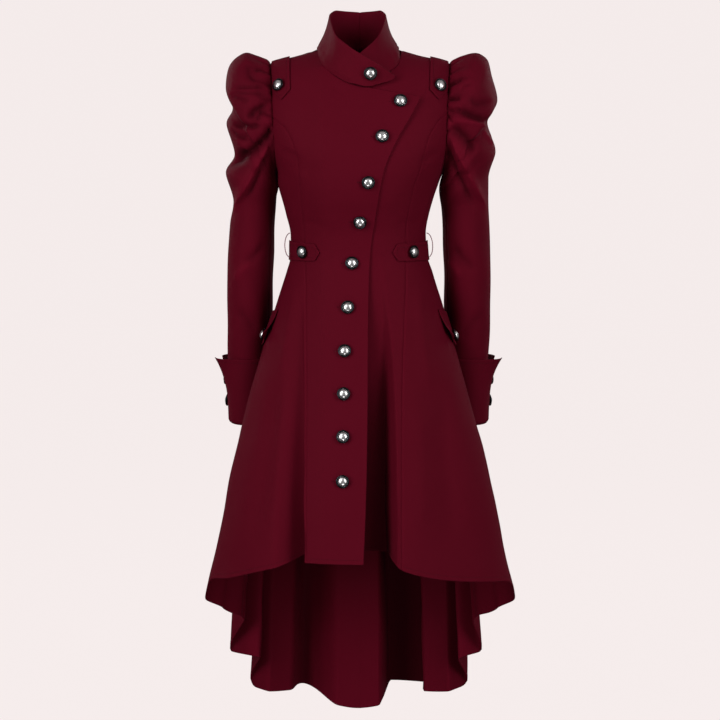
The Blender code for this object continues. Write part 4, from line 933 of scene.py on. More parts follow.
def side_panel(node, side, back, lift):
    """A side front or side back panel, from the long seam round to the side seam."""
    seam_rows = BACK_SEAM if back else FRONT_SEAM[side]
    seam = back_seam_x if back else front_seam_x[side]
    seam_top = seam_rows[0].height
    side_angle = 0.0 if side == LEFT else (180.0 if back else -180.0)
    away = (1 if back else -1) * side

    def seam_angle(height):
        return angle_at(side * (seam(height) + SEAM_GAP / 2), height, back)

    def side_seam(height):
        return side_angle + away * np.degrees(SEAM_GAP / 2 / section["half_width"](height))

    def arm(share):
        height = seam_top + (UNDERARM - seam_top) * np.asarray(share, float)
        plain = angle_at(side * armhole_x(height), height, back)
        first, last = seam_angle(seam_top), side_seam(UNDERARM)
        start = angle_at(side * armhole_x(seam_top), seam_top, back)
        return pair(first + (plain - start) * (last - first) / (side_angle - start), height)

    def hem(u):
        angle = seam_angle(SIDE_HEM_GUESS) * (1 - u) + side_seam(SIDE_HEM_GUESS) * u
        for _ in range(5):
            height = hem_height(angle)
            angle = seam_angle(height) * (1 - u) + side_seam(height) * u
        return hem_height(angle) + drawn_up(lift(plain_x(angle, height), height))

    left = line_down(seam_angle, CHEST, seam_top)
    right = line_down(side_seam, CHEST, UNDERARM)
    bottom = smooth_path([left(0.0), right(0.0)])
    columns = spread(SIDE_PANEL_WIDTH, SIDE_PANEL_STEP) ** SIDE_PANEL_CROWDING
    domain = panel_domain(seam_angle, side_seam, (left, right, bottom, arm), columns, hem)
    panel_cloth(node, domain[..., 0], domain[..., 1], lift, True, 1.0, lambda points: None)


def no_lift(x, height):
    return 0.0 * x


def front_lift(x, height):
    """The right front stands clear of the left front it laps over, and its lapel curls out a little."""
    ramp = rise(x, LIFT_X, LIFT_X_SPAN) * smoothstep((LIFT_TOP - height) / LIFT_TOP_SPAN)
    curl = rise(x, CURL_X, CURL_SPAN) * rise(height, CURL_LOW, CURL_SPAN)
    return OVERLAP_LIFT * ramp + LAPEL_CURL * curl


def lift_on(side, x, height):
    """How far a front stands out under what lies on it."""
    return front_lift(x, height) if side == RIGHT else 0.0 * x


def neck_path(side, first, last):
    """The front neckline between two of its rows, in the front view."""
    return smooth_path([(side * row.x, row.height) for row in NECKLINE[first:last + 1]])


def shoulder_line(side, start):
    return line_down(lambda height: shoulder_x(side, height), start, SHOULDER_POINT)


def build_panels():
    neck_end = NECKLINE[0].height
    lapel = reverse(smooth_path([LAPEL_NECK, LAPEL_TIP]))
    neck = reverse(neck_path(RIGHT, 0, 5))
    right_top = chained([lapel, neck, shoulder_line(RIGHT, neck_end)], [LAPEL_SHARE, RIGHT_NECK_SHARE])
    main_panel(
        "front_right", RIGHT, False, overlap_x, front_seam_x[RIGHT], right_top, front_lift, False, LAPEL_SHARE
    )
    under, neck = reverse(neck_path(LEFT, 4, 6)), reverse(neck_path(LEFT, 0, 4))
    left_top = chained([under, neck, shoulder_line(LEFT, neck_end)], [UNDERLAP_SHARE, LEFT_NECK_SHARE])
    main_panel(
        "front_left", LEFT, False, underlap_x, front_seam_x[LEFT], left_top, front_tuck, False, WHOLE_TOP,
        FOLDED_PANEL_STEP,
    )
    for side, word in SIDES:
        def centre(height, side=side):
            return side * (SEAM_GAP / 2) + 0.0 * np.asarray(height)

        neck = smooth_path([(side * x, z) for x, z in BACK_NECK])
        top = chained([neck, shoulder_line(side, NECK_SIDE)], [BACK_NECK_SHARE])
        main_panel(f"back_{word}", side, True, centre, back_seam_x, top, no_lift, True, WHOLE_TOP)
        side_panel(f"side_front_{word}", side, False, side_tuck if side == RIGHT else no_lift)
        side_panel(f"side_back_{word}", side, True, no_lift)


# Collar

COLLAR_SHARES = spread(0.07, 0.0026)
COLLAR_COLUMNS = 110
COLLAR_SEWN_END = 6.5
COLLAR_SEWN_WIDTH = 0.16
COLLAR_SEWN_IN = 0.75
COLLAR_BOW_END = (4.0, 2.0)
COLLAR_LIFT_START = (3.5, 2.5)


def collar_points(side, count, lift):
    """Outer and inner points of one half of the collar, from the centre back to its front end."""
    index = np.arange(len(COLLAR))
    columns = [smooth_curve(index, [row[k] for row in COLLAR]) for k in range(1, 6)]
    last_back = sum(row.side == "back" for row in COLLAR) - 1

    def rails(place):
        lower_x, lower_z, upper_x, upper_y, upper_z = (column(place) for column in columns)
        lower_x = lower_x * (1.0 - COLLAR_BASE_SHIFT[side] * (1.0 - smoothstep(place - last_back)))
        low = body_point(angle_at(side * lower_x, lower_z), lower_z)
        behind = body_point(angle_at(side * lower_x, lower_z, True), lower_z)
        low = behind + (low - behind) * smoothstep(place - last_back + 0.5)[..., None]
        low[..., 2] += COLLAR_RISE * smoothstep(place - COLLAR_SEWN_END)
        return low, np.stack([side * upper_x * COLLAR_LEAN[side], upper_y, upper_z], axis=-1)

    def surface(place, width):
        low, high = rails(place)
        return low + (high - low) * width[..., None]

    step = 0.05
    place, width = np.meshgrid(np.linspace(0.0, count - 1.0, COLLAR_COLUMNS), COLLAR_SHARES)
    near = np.clip(place, step, count - 1.0 - step)
    along = surface(near + step, width) - surface(near - step, width)
    low, high = rails(place)
    normal = unit(np.cross(high - low, along) * side)
    bow = COLLAR_BOW * np.sin(math.pi * width) * (1.0 - rise(place, *COLLAR_BOW_END))
    sewn = (1.0 - smoothstep(place - COLLAR_SEWN_END)) * (1.0 - smoothstep(width / COLLAR_SEWN_WIDTH))
    over = COLLAR_GAP * (1.0 - COLLAR_SEWN_IN * sewn) + lift * rise(place, *COLLAR_LIFT_START)
    points = surface(place, width)
    uneven = unevenness(points, *COLLAR_WAVES) * np.sin(math.pi * width)
    outer = points + normal * (bow + over + uneven)[..., None]
    inner = outer - normal * CLOTH
    for grid in (outer, inner):
        grid[:, 0, 0] = side * SEAM_GAP / 2
    return outer, inner, normal


def build_collar():
    for side, word, count, lift in (
        (RIGHT, "right", len(COLLAR), COLLAR_OVER_LIFT),
        (LEFT, "left", COLLAR_UNDER_SECTIONS, COLLAR_UNDER_LIFT),
    ):
        outer, inner, _ = collar_points(side, count, lift)
        cloth_piece(f"collar_{word}", outer, inner, (1.0, 1.0, 1.0, 0.0))


# Sleeves

def armhole_point(side, turn):
    """The armhole's edge on the body: 0 degrees is the shoulder, 90 the front, 180 the underarm."""
    cosine, sine = cos_sin(turn)
    height = (SHOULDER_POINT + UNDERARM) / 2 + (SHOULDER_POINT - UNDERARM) / 2 * cosine
    x = armhole_x(height)
    angle = np.where(sine > 0, angle_at(x, height), angle_at(x, height, True))
    points = body_out(angle, height, -SEAM_DEPTH)
    points[..., 0] = side * (points[..., 0] + SEAM_GAP)
    return points


def sleeve_surface(side):
    """The sleeve's outer face as a function of the turn round the arm and the ring along it."""
    rings = SLEEVE_RINGS[side]
    curves = [smooth_curve(np.arange(len(rings)), [ring[k] for ring in rings]) for k in range(6)]

    def plain(turn, ring):
        outer_x, outer_z, inner_x, inner_z, depth, middle = (curve(ring) for curve in curves)
        c, s = cos_sin(turn)
        x = (outer_x + inner_x) / 2 + (outer_x - inner_x) / 2 * c
        z = (outer_z + inner_z) / 2 + (outer_z - inner_z) / 2 * c
        return np.stack([side * x, middle - depth * s, z], axis=-1)

    def surface(turn, ring):
        fade = 1.0 - smoothstep(np.asarray(ring) / SLEEVE_FADE)
        start = armhole_point(side, turn) - plain(turn, 0.0 * np.asarray(turn))
        return plain(turn, ring) + fade[..., None] * start

    return surface


def ring_outward(side, turn, ring):
    """The direction straight out from the arm within a ring."""
    rings = SLEEVE_RINGS[side]
    index = np.arange(len(rings))
    span_x = smooth_curve(index, [row.outer_x - row.inner_x for row in rings])(ring)
    span_z = smooth_curve(index, [row.outer_z - row.inner_z for row in rings])(ring)
    c, s = cos_sin(turn)
    length = np.hypot(span_x, span_z)
    return np.stack([side * c * span_x / length, -s, c * span_z / length], axis=-1)


def sleeve_normal(surface, side, turn, ring):
    inside = np.clip(ring, 0.02, LAST_RING - 0.02)
    return normal_of(surface, turn, inside, 1.0, 0.02) * side


def sleeve_folds(side):
    """The sleeve's folds as paths on its front, and the same on its back."""
    surface = sleeve_surface(side)
    share = np.linspace(0.0, 1.0, 40)
    made = []
    for first, shift in ((0.0, 0.0), (180.0, BACK_FOLD_SHIFT)):
        turn, ring = np.meshgrid(np.linspace(first, first + 180.0, 181), np.linspace(0.0, LAST_RING, 426))
        points = surface(turn, ring).reshape(-1, 3)
        for fold in SLEEVE_FOLDS[side]:
            x, z = smooth_path(fold.path)(share).T
            far = (points[:, 0] - side * x[:, None]) ** 2 + (points[:, 2] - z[:, None] + shift) ** 2
            path = points[np.argmin(far, axis=1)]
            for _ in range(4):
                path[1:-1] = (path[:-2] + 2.0 * path[1:-1] + path[2:]) / 4
            mirrored = fold._replace(left_width=fold.right_width, right_width=fold.left_width)
            made.append((path, share, fold if (side == LEFT) == (first == 0.0) else mirrored))
    return made


def gathers(side, turn, ring):
    """Uneven gathers at the sleeve's head: round crests with narrow troughs between them."""
    draw = np.random.default_rng(21 + side)
    span = TOP_SLEEVE[1] - TOP_SLEEVE[0] - SLEEVE_SEAM_GAP
    place = (turn - TOP_SLEEVE[0] - SLEEVE_SEAM_GAP / 2) / span * GATHERS
    index = np.arange(-1, GATHERS + 3)
    strength, reach, sway = [
        smooth_curve(index, draw.uniform(low, high, len(index)))(place) for low, high in GATHER_DRAWS
    ]
    phase = place + sway * smoothstep(ring / 1.5)
    main = 2.0 * np.abs(np.cos(math.pi * phase)) ** 0.75 - 1.0
    small = 2.0 * np.abs(np.cos(math.pi * (2.0 * phase + 0.31))) - 1.0
    fade = 1.0 - rise(np.abs(turn), *GATHER_END)
    fine = FINE_GATHER * smoothstep(ring / 0.35) * (1.0 - rise(ring, 0.3, 1.5))
    return fade * (strength * gather_height(ring / reach) * main + fine * small)


def sleeve_panel(node, side, span, step, gathered, folds):
    surface = sleeve_surface(side)
    wide = span[1] - span[0]
    shares = spread(math.radians(wide) * SLEEVE_RADIUS, step)
    turns = span[0] + SLEEVE_EDGE_GAP + (wide - 2 * SLEEVE_EDGE_GAP) * shares
    places = np.linspace(0.0, LAST_RING, 341)
    lengths = run_lengths(surface(np.full_like(places, SLEEVE_FRONT), places), 0)
    head = np.interp(SLEEVE_HEAD_RING, places, lengths)
    rest = lengths[-1] - head
    upper = spread(head, SLEEVE_HEAD_STEP, last=False) * head
    lower = head + spread(rest, SLEEVE_ARM_STEP, first=False) * rest
    rings = np.interp(np.concatenate([upper, lower[1:]]), lengths, places)
    turn, ring = np.meshgrid(turns, rings)
    normal = sleeve_normal(surface, side, turn, ring)
    points = surface(turn, ring)
    relief = sum(crease_relief(points, normal, *fold, FOLD_SHARPNESS) for fold in folds)
    sewn = smoothstep(ring / SLEEVE_SEWN_RING)
    relief = sewn * (relief + unevenness(points, *SLEEVE_WAVES))
    across = run_lengths(points, 1)
    relief = relief + sewn * (groove(across) + groove(across[:, -1:] - across))
    # Painted shade in the sleeve's troughs and between its gathers, and painted highlight on its ridges and
    # the gathers' crests, from the depth of its relief, on the outer face only.
    deep = relief
    if gathered:
        gather = gathers(side, turn, ring)
        deep = deep + gather
        points = points + gather[..., None] * ring_outward(side, turn, ring)
    outer = points + relief[..., None] * normal
    deep = np.clip(SLEEVE_PAINTED_SHADING * deep, *SLEEVE_PAINTED_SHADING_RANGE)
    cloth_piece(node, outer, outer - CLOTH * normal, (0.0, 0.0, 0.5, 0.0), deep=(deep, 0.0))


def build_sleeves():
    for side, word in SIDES:
        folds = sleeve_folds(side)
        sleeve_panel(f"sleeve_top_{word}", side, TOP_SLEEVE, TOP_SLEEVE_STEP, True, folds)
        sleeve_panel(f"sleeve_under_{word}", side, UNDER_SLEEVE, UNDER_SLEEVE_STEP, False, folds)


def cuff_flare(turn, share):
    """How far the cuff's top corners flare out beside the slit."""
    from_front = turn - CUFF_SLIT
    from_back = 360.0 - CUFF_SLIT - turn
    front = CUFF_FLARE_FRONT * bell(from_front, CUFF_FLARE_SPREAD)
    back = CUFF_FLARE_BACK * bell(from_back, CUFF_FLARE_SPREAD)
    return (front + back) * share ** 4


def build_cuffs():
    """Turned-back cuffs, rolled in at the bottom where the sleeve folds."""
    for side, word in SIDES:
        surface = sleeve_surface(side)
        turns = CUFF_SLIT + (360.0 - 2.0 * CUFF_SLIT) * spread(CUFF_AROUND, 0.0026)
        turn, share = np.meshgrid(turns, spread(CUFF_DEEP, 0.0032))
        ring = CUFF_BOTTOM_RING + (CUFF_TOP_RING - CUFF_BOTTOM_RING) * share
        normal = sleeve_normal(surface, side, turn, ring)
        roll = CUFF_ROLLED_IN + (1.0 - CUFF_ROLLED_IN) * smoothstep(share / CUFF_ROLL)
        points = surface(turn, ring)
        lift = CUFF_GAP * roll + cuff_flare(turn, share) + unevenness(points, *CUFF_WAVES) * share
        inner = points + lift[..., None] * normal
        outer = inner + CLOTH * normal
        cloth_piece(f"cuff_{word}", outer, inner, (1.0, 1.0, 1.0, 1.0))
        up = run_lengths(outer, 0)
        sewing_lines["trim"].append(line_at(outer[::-1], normal[::-1], up[-1:] - up[::-1], CUFF_SEWN))


# Tabs and flaps that lie on the panels

def overlay(node, angle, height, gap, sewn):
    """A piece that lies on the body, made from the body's points moved out, sewn round near its edge."""
    inner, normal = dressed(angle, height, gap)
    outer = inner + CLOTH * normal
    cloth_piece(node, outer, inner, (1.0, 1.0, 1.0, 1.0))
    sewing_lines["trim"].append(inset_line(outer, normal, sewn))


def tab_grid(length, length_step, width, width_step):
    """Shares along a tab, and parts across it from -1 to 1."""
    return np.meshgrid(spread(length, length_step), 2.0 * spread(width, width_step) - 1.0)


def inset_line(outer, normal, inset):
    """A line round a grid, at a distance inside its edge."""
    across, up = run_lengths(outer, 1), run_lengths(outer, 0)
    right, top = across[:, -1:] - across, up[-1:] - up
    middle_row, middle_column = outer.shape[0] // 2, outer.shape[1] // 2
    left_column = np.argmax(across[middle_row] >= inset)
    right_column = outer.shape[1] - 1 - np.argmax(right[middle_row][::-1] >= inset)
    low_row = np.argmax(up[:, middle_column] >= inset)
    high_row = outer.shape[0] - 1 - np.argmax(top[:, middle_column][::-1] >= inset)
    places = [(low_row, k) for k in range(left_column, right_column)]
    places += [(k, right_column) for k in range(low_row, high_row)]
    places += [(high_row, k) for k in range(right_column, left_column, -1)]
    places += [(k, left_column) for k in range(high_row, low_row - 1, -1)]
    rows, columns = np.array(places).T
    return outer[rows, columns], normal[rows, columns]


def build_waist_tabs():
    """Pointed tabs from the side seams towards the front, at the waist."""
    tips = {RIGHT: -0.0712, LEFT: 0.0580}
    ends = {RIGHT: -177.5, LEFT: -2.5}
    middle = -0.3615
    point_length, waist_radius, taper = 0.009, 0.11, 0.0025
    for side, word in SIDES:
        tip_angle = float(angle_at(tips[side], middle))
        share, part = tab_grid(0.10, 0.0026, 0.035, 0.0022)
        half = TAB_HALF_WIDTH - taper * (1.0 - share)
        height = middle + half * part
        cut = np.degrees(point_length / waist_radius) * np.abs(part) * (1.0 - share)
        angle = tip_angle + (ends[side] - tip_angle) * share + side * cut
        gap = OVERLAY_GAP + lift_on(side, body_point(angle, height)[..., 0], height)
        overlay(f"waist_tab_{word}", angle, height, gap, TRIM_SEWN)


def build_shoulder_tabs():
    """Pointed tabs from the shoulder seam down the front, beside the armhole."""
    middle, lean, half_width = 0.1425, 0.0035, 0.0155
    tip, point_length = -0.0905, 0.0170
    seam_x, seam_z = [0.078, 0.105, 0.163], [0.002, -0.0085, SHOULDER_POINT]
    for side, word in SIDES:
        share, part = tab_grid(0.075, 0.0024, 0.031, 0.0022)
        x = middle - lean * share + half_width * part
        top = np.interp(x, seam_x, seam_z)
        bottom = tip + point_length * np.abs(part)
        height = top + (bottom - top) * share
        angle = angle_at(side * x, height)
        gap = OVERLAY_GAP + lift_on(side, side * x, height)
        overlay(f"shoulder_tab_{word}", angle, height, gap, TRIM_SEWN)


FLAP_TOP = -0.474
FLAP_MIDDLE_ANGLE = {RIGHT: 4.0, LEFT: 9.0}
FLAP_HALF_ANGLE = 15.5
FLAP_CORNER_DROP = 0.046
FLAP_POINT_DROP = 0.062
FLAP_CURL = 0.012
FLAP_CURL_FROM = 0.35
FLAP_SLANT = 0.006
FLAP_STAND_OFF = 0.0012


def flap_place(side, share, part):
    """Angle, height and stand-off on a pocket flap: share runs down it, part from front to back."""
    drop = FLAP_POINT_DROP + (FLAP_CORNER_DROP - FLAP_POINT_DROP) * np.abs(part)
    turn = FLAP_MIDDLE_ANGLE[side] - FLAP_HALF_ANGLE * part
    angle = -turn if side == LEFT else turn - 180.0
    curl = FLAP_CURL * rise(-part, FLAP_CURL_FROM, 1.0 - FLAP_CURL_FROM) * share ** 2
    return angle, FLAP_TOP - FLAP_SLANT * part - drop * share, OVERLAY_GAP + FLAP_STAND_OFF * share + curl


def build_pocket_flaps():
    for side, word in SIDES:
        share, part = tab_grid(0.06, 0.0026, 0.085, 0.0026)
        angle, height, gap = flap_place(side, share, part)
        overlay(f"pocket_flap_{word}", angle, height, gap, FLAP_SEWN)


def hard_piece(node, mesh):
    piece = link(f"{node}_fine", mesh)
    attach(piece, "root")
    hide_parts(node)
    return piece


def build_belt_loops():
    """Thread loops at the side seams: two strands twisted together."""
    top, bottom, reach, thread = -0.331, -0.3765, 0.0105, 0.0009
    off_panel, strand_out, strand_size = 0.0004, 0.45, 0.55
    turns_of_twist, sides, count = 9, 8, 121
    for side, word in SIDES:
        angle = 3.0 if side == LEFT else 177.0
        share = np.linspace(0.0, 1.0, count)
        turns = math.pi * share
        heights = (top + bottom) / 2 + (top - bottom) / 2 * np.cos(turns)
        path = body_out(angle + 0.0 * turns, heights, off_panel + thread + reach * np.sin(turns))
        along = np.gradient(path, axis=0)
        across = unit(np.cross(along, (0.0, 1.0, 0.0)))
        beside = unit(np.cross(along, across))

        def turned(turn):
            """Directions round the loop's path, by the turn."""
            return np.cos(turn)[..., None] * across[:, None] + np.sin(turn)[..., None] * beside[:, None]

        points, faces = [], []
        for strand in range(2):
            twist = 2.0 * math.pi * (turns_of_twist * share + strand / 2)
            middle = path[:, None] + strand_out * thread * turned(twist[:, None])
            around = 2.0 * math.pi * np.arange(sides) / sides
            points.append((middle + strand_size * thread * turned(around[None, :])).reshape(-1, 3))
            index, quads = ring_index(count, sides, strand * count * sides)
            faces += [*quads, index[0, ::-1].tolist(), index[-1].tolist()]
        mesh = new_mesh(f"belt_loop_{word}", np.concatenate(points), faces, [MATERIALS["loop"]])
        hard_piece(f"belt_loop_{word}", mesh)


# Buttons

ButtonRing = namedtuple("ButtonRing", "radius height metal")
RIM, DOME = 0, 1
BUTTON_BACK = rows_of(ButtonRing, [
    (0.0, 0.0, RIM), (0.44, 0.0, RIM), (0.5, 0.03, RIM), (0.9, 0.12, RIM),
])
RIM_MIDDLE = (0.86, 0.235)
RIM_SIZE = (0.14, 0.125)
DOME_RADIUS = 0.67
DOME_BASE = 0.27
DOME_HEIGHT = 0.36
BUTTON_SIDES = 48
BUTTON_TIP = 0.09
BUTTON_SHANK = 0.0016
LEAST_RADIUS = 0.002


def button_profile():
    """The turned profile of a button: a flat back, a round rim and a dome set in it."""
    rings = list(BUTTON_BACK)
    for turn in np.radians(np.linspace(-50.0, 195.0, 14)):
        radius = RIM_MIDDLE[0] + RIM_SIZE[0] * math.cos(turn)
        rings.append(ButtonRing(radius, RIM_MIDDLE[1] + RIM_SIZE[1] * math.sin(turn), RIM))
    for turn in np.radians(np.linspace(0.0, 90.0, 14)):
        height = DOME_BASE + DOME_HEIGHT * math.sin(turn)
        rings.append(ButtonRing(DOME_RADIUS * math.cos(turn), height, DOME))
    return rings


def button_mesh():
    rings = button_profile()
    points = [
        circle(max(ring.radius, LEAST_RADIUS) * BUTTON_RADIUS, ring.height * BUTTON_RADIUS, BUTTON_SIDES)
        for ring in rings
    ]
    index, faces = ring_index(len(rings), BUTTON_SIDES)
    faces += [index[0, ::-1].tolist(), index[-1].tolist()]
    metals = [ring.metal for ring in rings[1:] for _ in range(BUTTON_SIDES)] + [RIM, DOME]
    mesh = new_mesh("button", np.concatenate(points), faces, [MATERIALS["rim"], MATERIALS["dome"]])
    mesh.polygons.foreach_set("material_index", metals)
    return mesh


def add_button(node, place, normal):
    """A button on its shank, tipped a little as it hangs."""
    draw = np.random.default_rng(sum(map(ord, node)))
    tipped = Vector(normal) + Vector(draw.uniform(-BUTTON_TIP, BUTTON_TIP, 3))
    turned = tipped.to_track_quat("Z", "Y").to_matrix().to_4x4()
    mesh = BUTTON.copy()
    mesh.transform(Matrix.Translation(Vector(place)) @ turned)
    hard_piece(node, mesh)


def button_on_body(node, angle, height, out):
    place, normal = dressed(np.array([angle]), np.array([height]), np.array([out + BUTTON_SHANK]))
    add_button(node, place[0], normal[0])


def build_buttons():
    for k, button in enumerate(FRONT_BUTTONS):
        out = float(front_lift(button.x, button.z))
        button_on_body(f"button_front_{k + 1:02d}", float(angle_at(button.x, button.z)), button.z, out)
    for side, word in SIDES:
        for row in TAB_BUTTONS:
            x = row.right_x if side == RIGHT else row.left_x
            out = OVERLAY_GAP + CLOTH + float(lift_on(side, x, row.z))
            button_on_body(f"button_{row.name}_{word}", float(angle_at(x, row.z)), row.z, out)
        angle, height, gap = flap_place(side, FLAP_BUTTON, 0.0)
        button_on_body(f"button_pocket_{word}", angle, height, float(gap) + CLOTH)
        surface = sleeve_surface(side)
        turn = np.float64(360.0 - CUFF_SLIT - CUFF_BUTTON_TURN)
        for number, ring in enumerate(np.array(CUFF_BUTTON_RINGS), 1):
            normal = sleeve_normal(surface, side, turn, ring)
            share = (ring - CUFF_BOTTOM_RING) / (CUFF_TOP_RING - CUFF_BOTTOM_RING)
            out = CUFF_GAP + CLOTH + float(cuff_flare(turn, share)) + BUTTON_OUT
            add_button(f"button_cuff_{word}_{number}", surface(turn, ring) + normal * out, normal)
    outer, _, normal = collar_points(RIGHT, len(COLLAR), COLLAR_OVER_LIFT)
    row = np.argmin(np.abs(COLLAR_SHARES - COLLAR_BUTTON_SHARE))
    column = round(COLLAR_BUTTON_SECTION / (len(COLLAR) - 1.0) * (COLLAR_COLUMNS - 1))
    out = normal[row, column]
    add_button("button_collar", outer[row, column] + BUTTON_OUT * out, out)


# Sewing

def between(places, run, values):
    """Values at places along a run of points."""
    return np.stack([np.interp(places, run, values[:, k]) for k in range(3)], axis=-1)


def stitches(name, lines, thread):
    """A row of stitches along each line, all in one piece."""
    starts, ends, ups = [], [], []
    for points, normals in lines:
        run = run_lengths(points, 0)
        first = np.arange(0.5 * STITCH_PITCH, run[-1] - STITCH_PITCH, STITCH_PITCH)
        starts.append(between(first, run, points))
        ends.append(between(first + STITCH_LENGTH, run, points))
        ups.append(between(first, run, normals))
    start, end, up = np.concatenate(starts), np.concatenate(ends), np.concatenate(ups)
    along = end - start
    beside = unit(np.cross(along, up))
    rings = [start - STITCH_RADIUS * up]
    for share in STITCH_BENDS:
        middle = start + share * along + STITCH_LIFT * STITCH_RADIUS * up
        for turn in np.radians([0.0, 60.0, 120.0, 180.0, 270.0]):
            rings.append(middle + STITCH_RADIUS * (math.cos(turn) * beside + math.sin(turn) * up))
    rings.append(end - STITCH_RADIUS * up)
    points = np.stack(rings, axis=1)
    sides = 5
    pattern = []
    for k in range(sides):
        n = (k + 1) % sides
        pattern.append((0, 1 + n, 1 + k, 1 + k))
        pattern.append((1 + k, 1 + n, 1 + sides + n, 1 + sides + k))
        pattern.append((1 + sides + k, 1 + sides + n, 1 + 2 * sides, 1 + 2 * sides))
    each = points.shape[1]
    faces = []
    for k in range(len(points)):
        faces += [tuple(dict.fromkeys(corner + k * each for corner in face)) for face in pattern]
    piece = link(name, new_mesh(name, points.reshape(-1, 3), faces, [thread]))
    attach(piece, "root")
    return piece


def buttonhole_lines():
    """The sewn edges of the front buttonholes, which reach out beside each button."""
    lines = []
    half_length, half_width, shift = 0.0135, 0.0010, -0.006
    for button in FRONT_BUTTONS:
        turn = np.linspace(0.0, 2.0 * math.pi, 61)
        x = button.x + shift + half_length * np.cos(turn)
        z = button.z + half_width * np.sign(np.sin(turn)) * np.abs(np.sin(turn)) ** 0.5
        lines.append(dressed(angle_at(x, z), z, front_lift(x, z)))
    return lines


# Finishes

def join(source, output, target, entry):
    """Link an output of one node to an input of another."""
    source.id_data.links.new(source.outputs[output], target.inputs[entry])


def set_inputs(node, values):
    for name, value in values.items():
        node.inputs[name].default_value = value


def scaled(colour, amount):
    return tuple(amount * value for value in colour)


def principled(name, colour, roughness, metallic=0.0):
    found = bpy.data.materials.new(name)
    found.use_nodes = True
    shader = found.node_tree.nodes["Principled BSDF"]
    set_inputs(shader, {"Base Color": (*colour, 1.0), "Roughness": roughness, "Metallic": metallic})
    return found, found.node_tree, shader


def add_node(tree, kind, **values):
    """A node with values on its inputs by name, or on itself where it has such a setting."""
    node = tree.nodes.new(kind)
    for key, value in values.items():
        if hasattr(node, key):
            setattr(node, key, value)
        else:
            node.inputs[key.replace("_", " ").title()].default_value = value
    return node


def ramp_between(tree, dark, light):
    ramp = tree.nodes.new("ShaderNodeValToRGB")
    ramp.color_ramp.elements[0].color = (*dark, 1.0)
    ramp.color_ramp.elements[1].color = (*light, 1.0)
    return ramp


def speckled(tree, shader, scale, detail, dark, light):
    """Noise over a piece, which varies the shader's colour between two tones."""
    place = tree.nodes.new("ShaderNodeTexCoord")
    noise = add_node(tree, "ShaderNodeTexNoise", scale=scale, detail=detail)
    join(place, "Object", noise, "Vector")
    ramp = ramp_between(tree, dark, light)
    join(noise, "Fac", ramp, "Fac")
    join(ramp, "Color", shader, "Base Color")
    return noise


def bumped(tree, shader, source, output, strength, distance):
    bump = add_node(tree, "ShaderNodeBump", strength=strength, distance=distance)
    join(source, output, bump, "Height")
    join(bump, "Normal", shader, "Normal")


def cloth_material():
    """A fine twill with uneven yarns, a soft bloom at glancing angles and slight changes of colour, with
    painted shade in folds and painted light on ridges taken from each piece.
    """
    found, tree, shader = principled("coat_twill", CLOTH_LIGHT, 0.72)
    set_inputs(shader, {"Specular IOR Level": 0.025, "Sheen Weight": 0.012, "Sheen Roughness": 0.45})
    set_inputs(shader, {"Sheen Tint": (0.75, 0.28, 0.36, 1.0)})
    cut = add_node(tree, "ShaderNodeUVMap", uv_map="cut")
    twill = add_node(tree, "ShaderNodeTexWave", bands_direction="DIAGONAL", scale=480.0, distortion=0.6)
    yarns = add_node(tree, "ShaderNodeTexNoise", scale=1400.0, detail=2.0)
    patches = add_node(tree, "ShaderNodeTexNoise", scale=7.0, detail=3.0)
    for texture in (twill, yarns, patches):
        join(cut, "UV", texture, "Vector")
    weave = add_node(tree, "ShaderNodeMath", operation="MULTIPLY_ADD")
    weave.inputs[1].default_value = 0.45
    join(twill, "Fac", weave, 0)
    join(yarns, "Fac", weave, 2)
    shade = add_node(tree, "ShaderNodeMath", operation="MULTIPLY_ADD")
    shade.inputs[1].default_value = 0.5
    join(weave, "Value", shade, 0)
    tone = add_node(tree, "ShaderNodeMath", operation="MULTIPLY")
    tone.inputs[1].default_value = 0.35
    join(patches, "Fac", tone, 0)
    join(tone, "Value", shade, 2)
    ramp = ramp_between(tree, CLOTH_DARK, CLOTH_LIGHT)
    join(shade, "Value", ramp, "Fac")
    # Painted shade and painted light from each piece's point attribute: the colour is scaled by one less that
    # amount, darker in folds and hollows, lighter on raised flutes and ridges.
    deep = add_node(tree, "ShaderNodeAttribute", attribute_name="deep")
    colour_left_by_painted_shade = add_node(tree, "ShaderNodeMath", operation="SUBTRACT")
    colour_left_by_painted_shade.inputs[0].default_value = 1.0
    join(deep, "Fac", colour_left_by_painted_shade, 1)
    painted_shade_colour = add_node(tree, "ShaderNodeVectorMath", operation="SCALE")
    join(ramp, "Color", painted_shade_colour, 0)
    join(colour_left_by_painted_shade, "Value", painted_shade_colour, "Scale")
    join(painted_shade_colour, "Vector", shader, "Base Color")
    bumped(tree, shader, weave, "Value", 0.25, 0.0004)
    return found


def thread_material(name, colour):
    """Spun thread with fine fibres."""
    found, tree, shader = principled(name, colour, 0.65)
    set_inputs(shader, {"Specular IOR Level": 0.03, "Sheen Weight": 0.02})
    fibres = speckled(tree, shader, 2500.0, 2.0, scaled(colour, 0.7), scaled(colour, 1.2))
    bumped(tree, shader, fibres, "Fac", 0.3, 0.0002)
    return found


def metal_material(name, colour, smooth, rough):
    """Plated metal whose polish varies a little over it."""
    found, tree, shader = principled(name, colour, rough, 1.0)
    wear = speckled(tree, shader, 260.0, 4.0, scaled(colour, 0.85), colour)
    polish = tree.nodes.new("ShaderNodeMapRange")
    set_inputs(polish, {"To Min": smooth, "To Max": rough})
    join(wear, "Fac", polish, "Value")
    join(polish, "Result", shader, "Roughness")
    return found


def backdrop_material():
    """Pale paper that shines evenly, so that the ground and the backdrop are one tone."""
    found, _, shader = principled("pale_paper", scaled(BACKDROP, 0.02), 1.0)
    set_inputs(shader, {"Specular IOR Level": 0.0, "Emission Strength": 0.99})
    set_inputs(shader, {"Emission Color": (*BACKDROP, 1.0)})
    return found


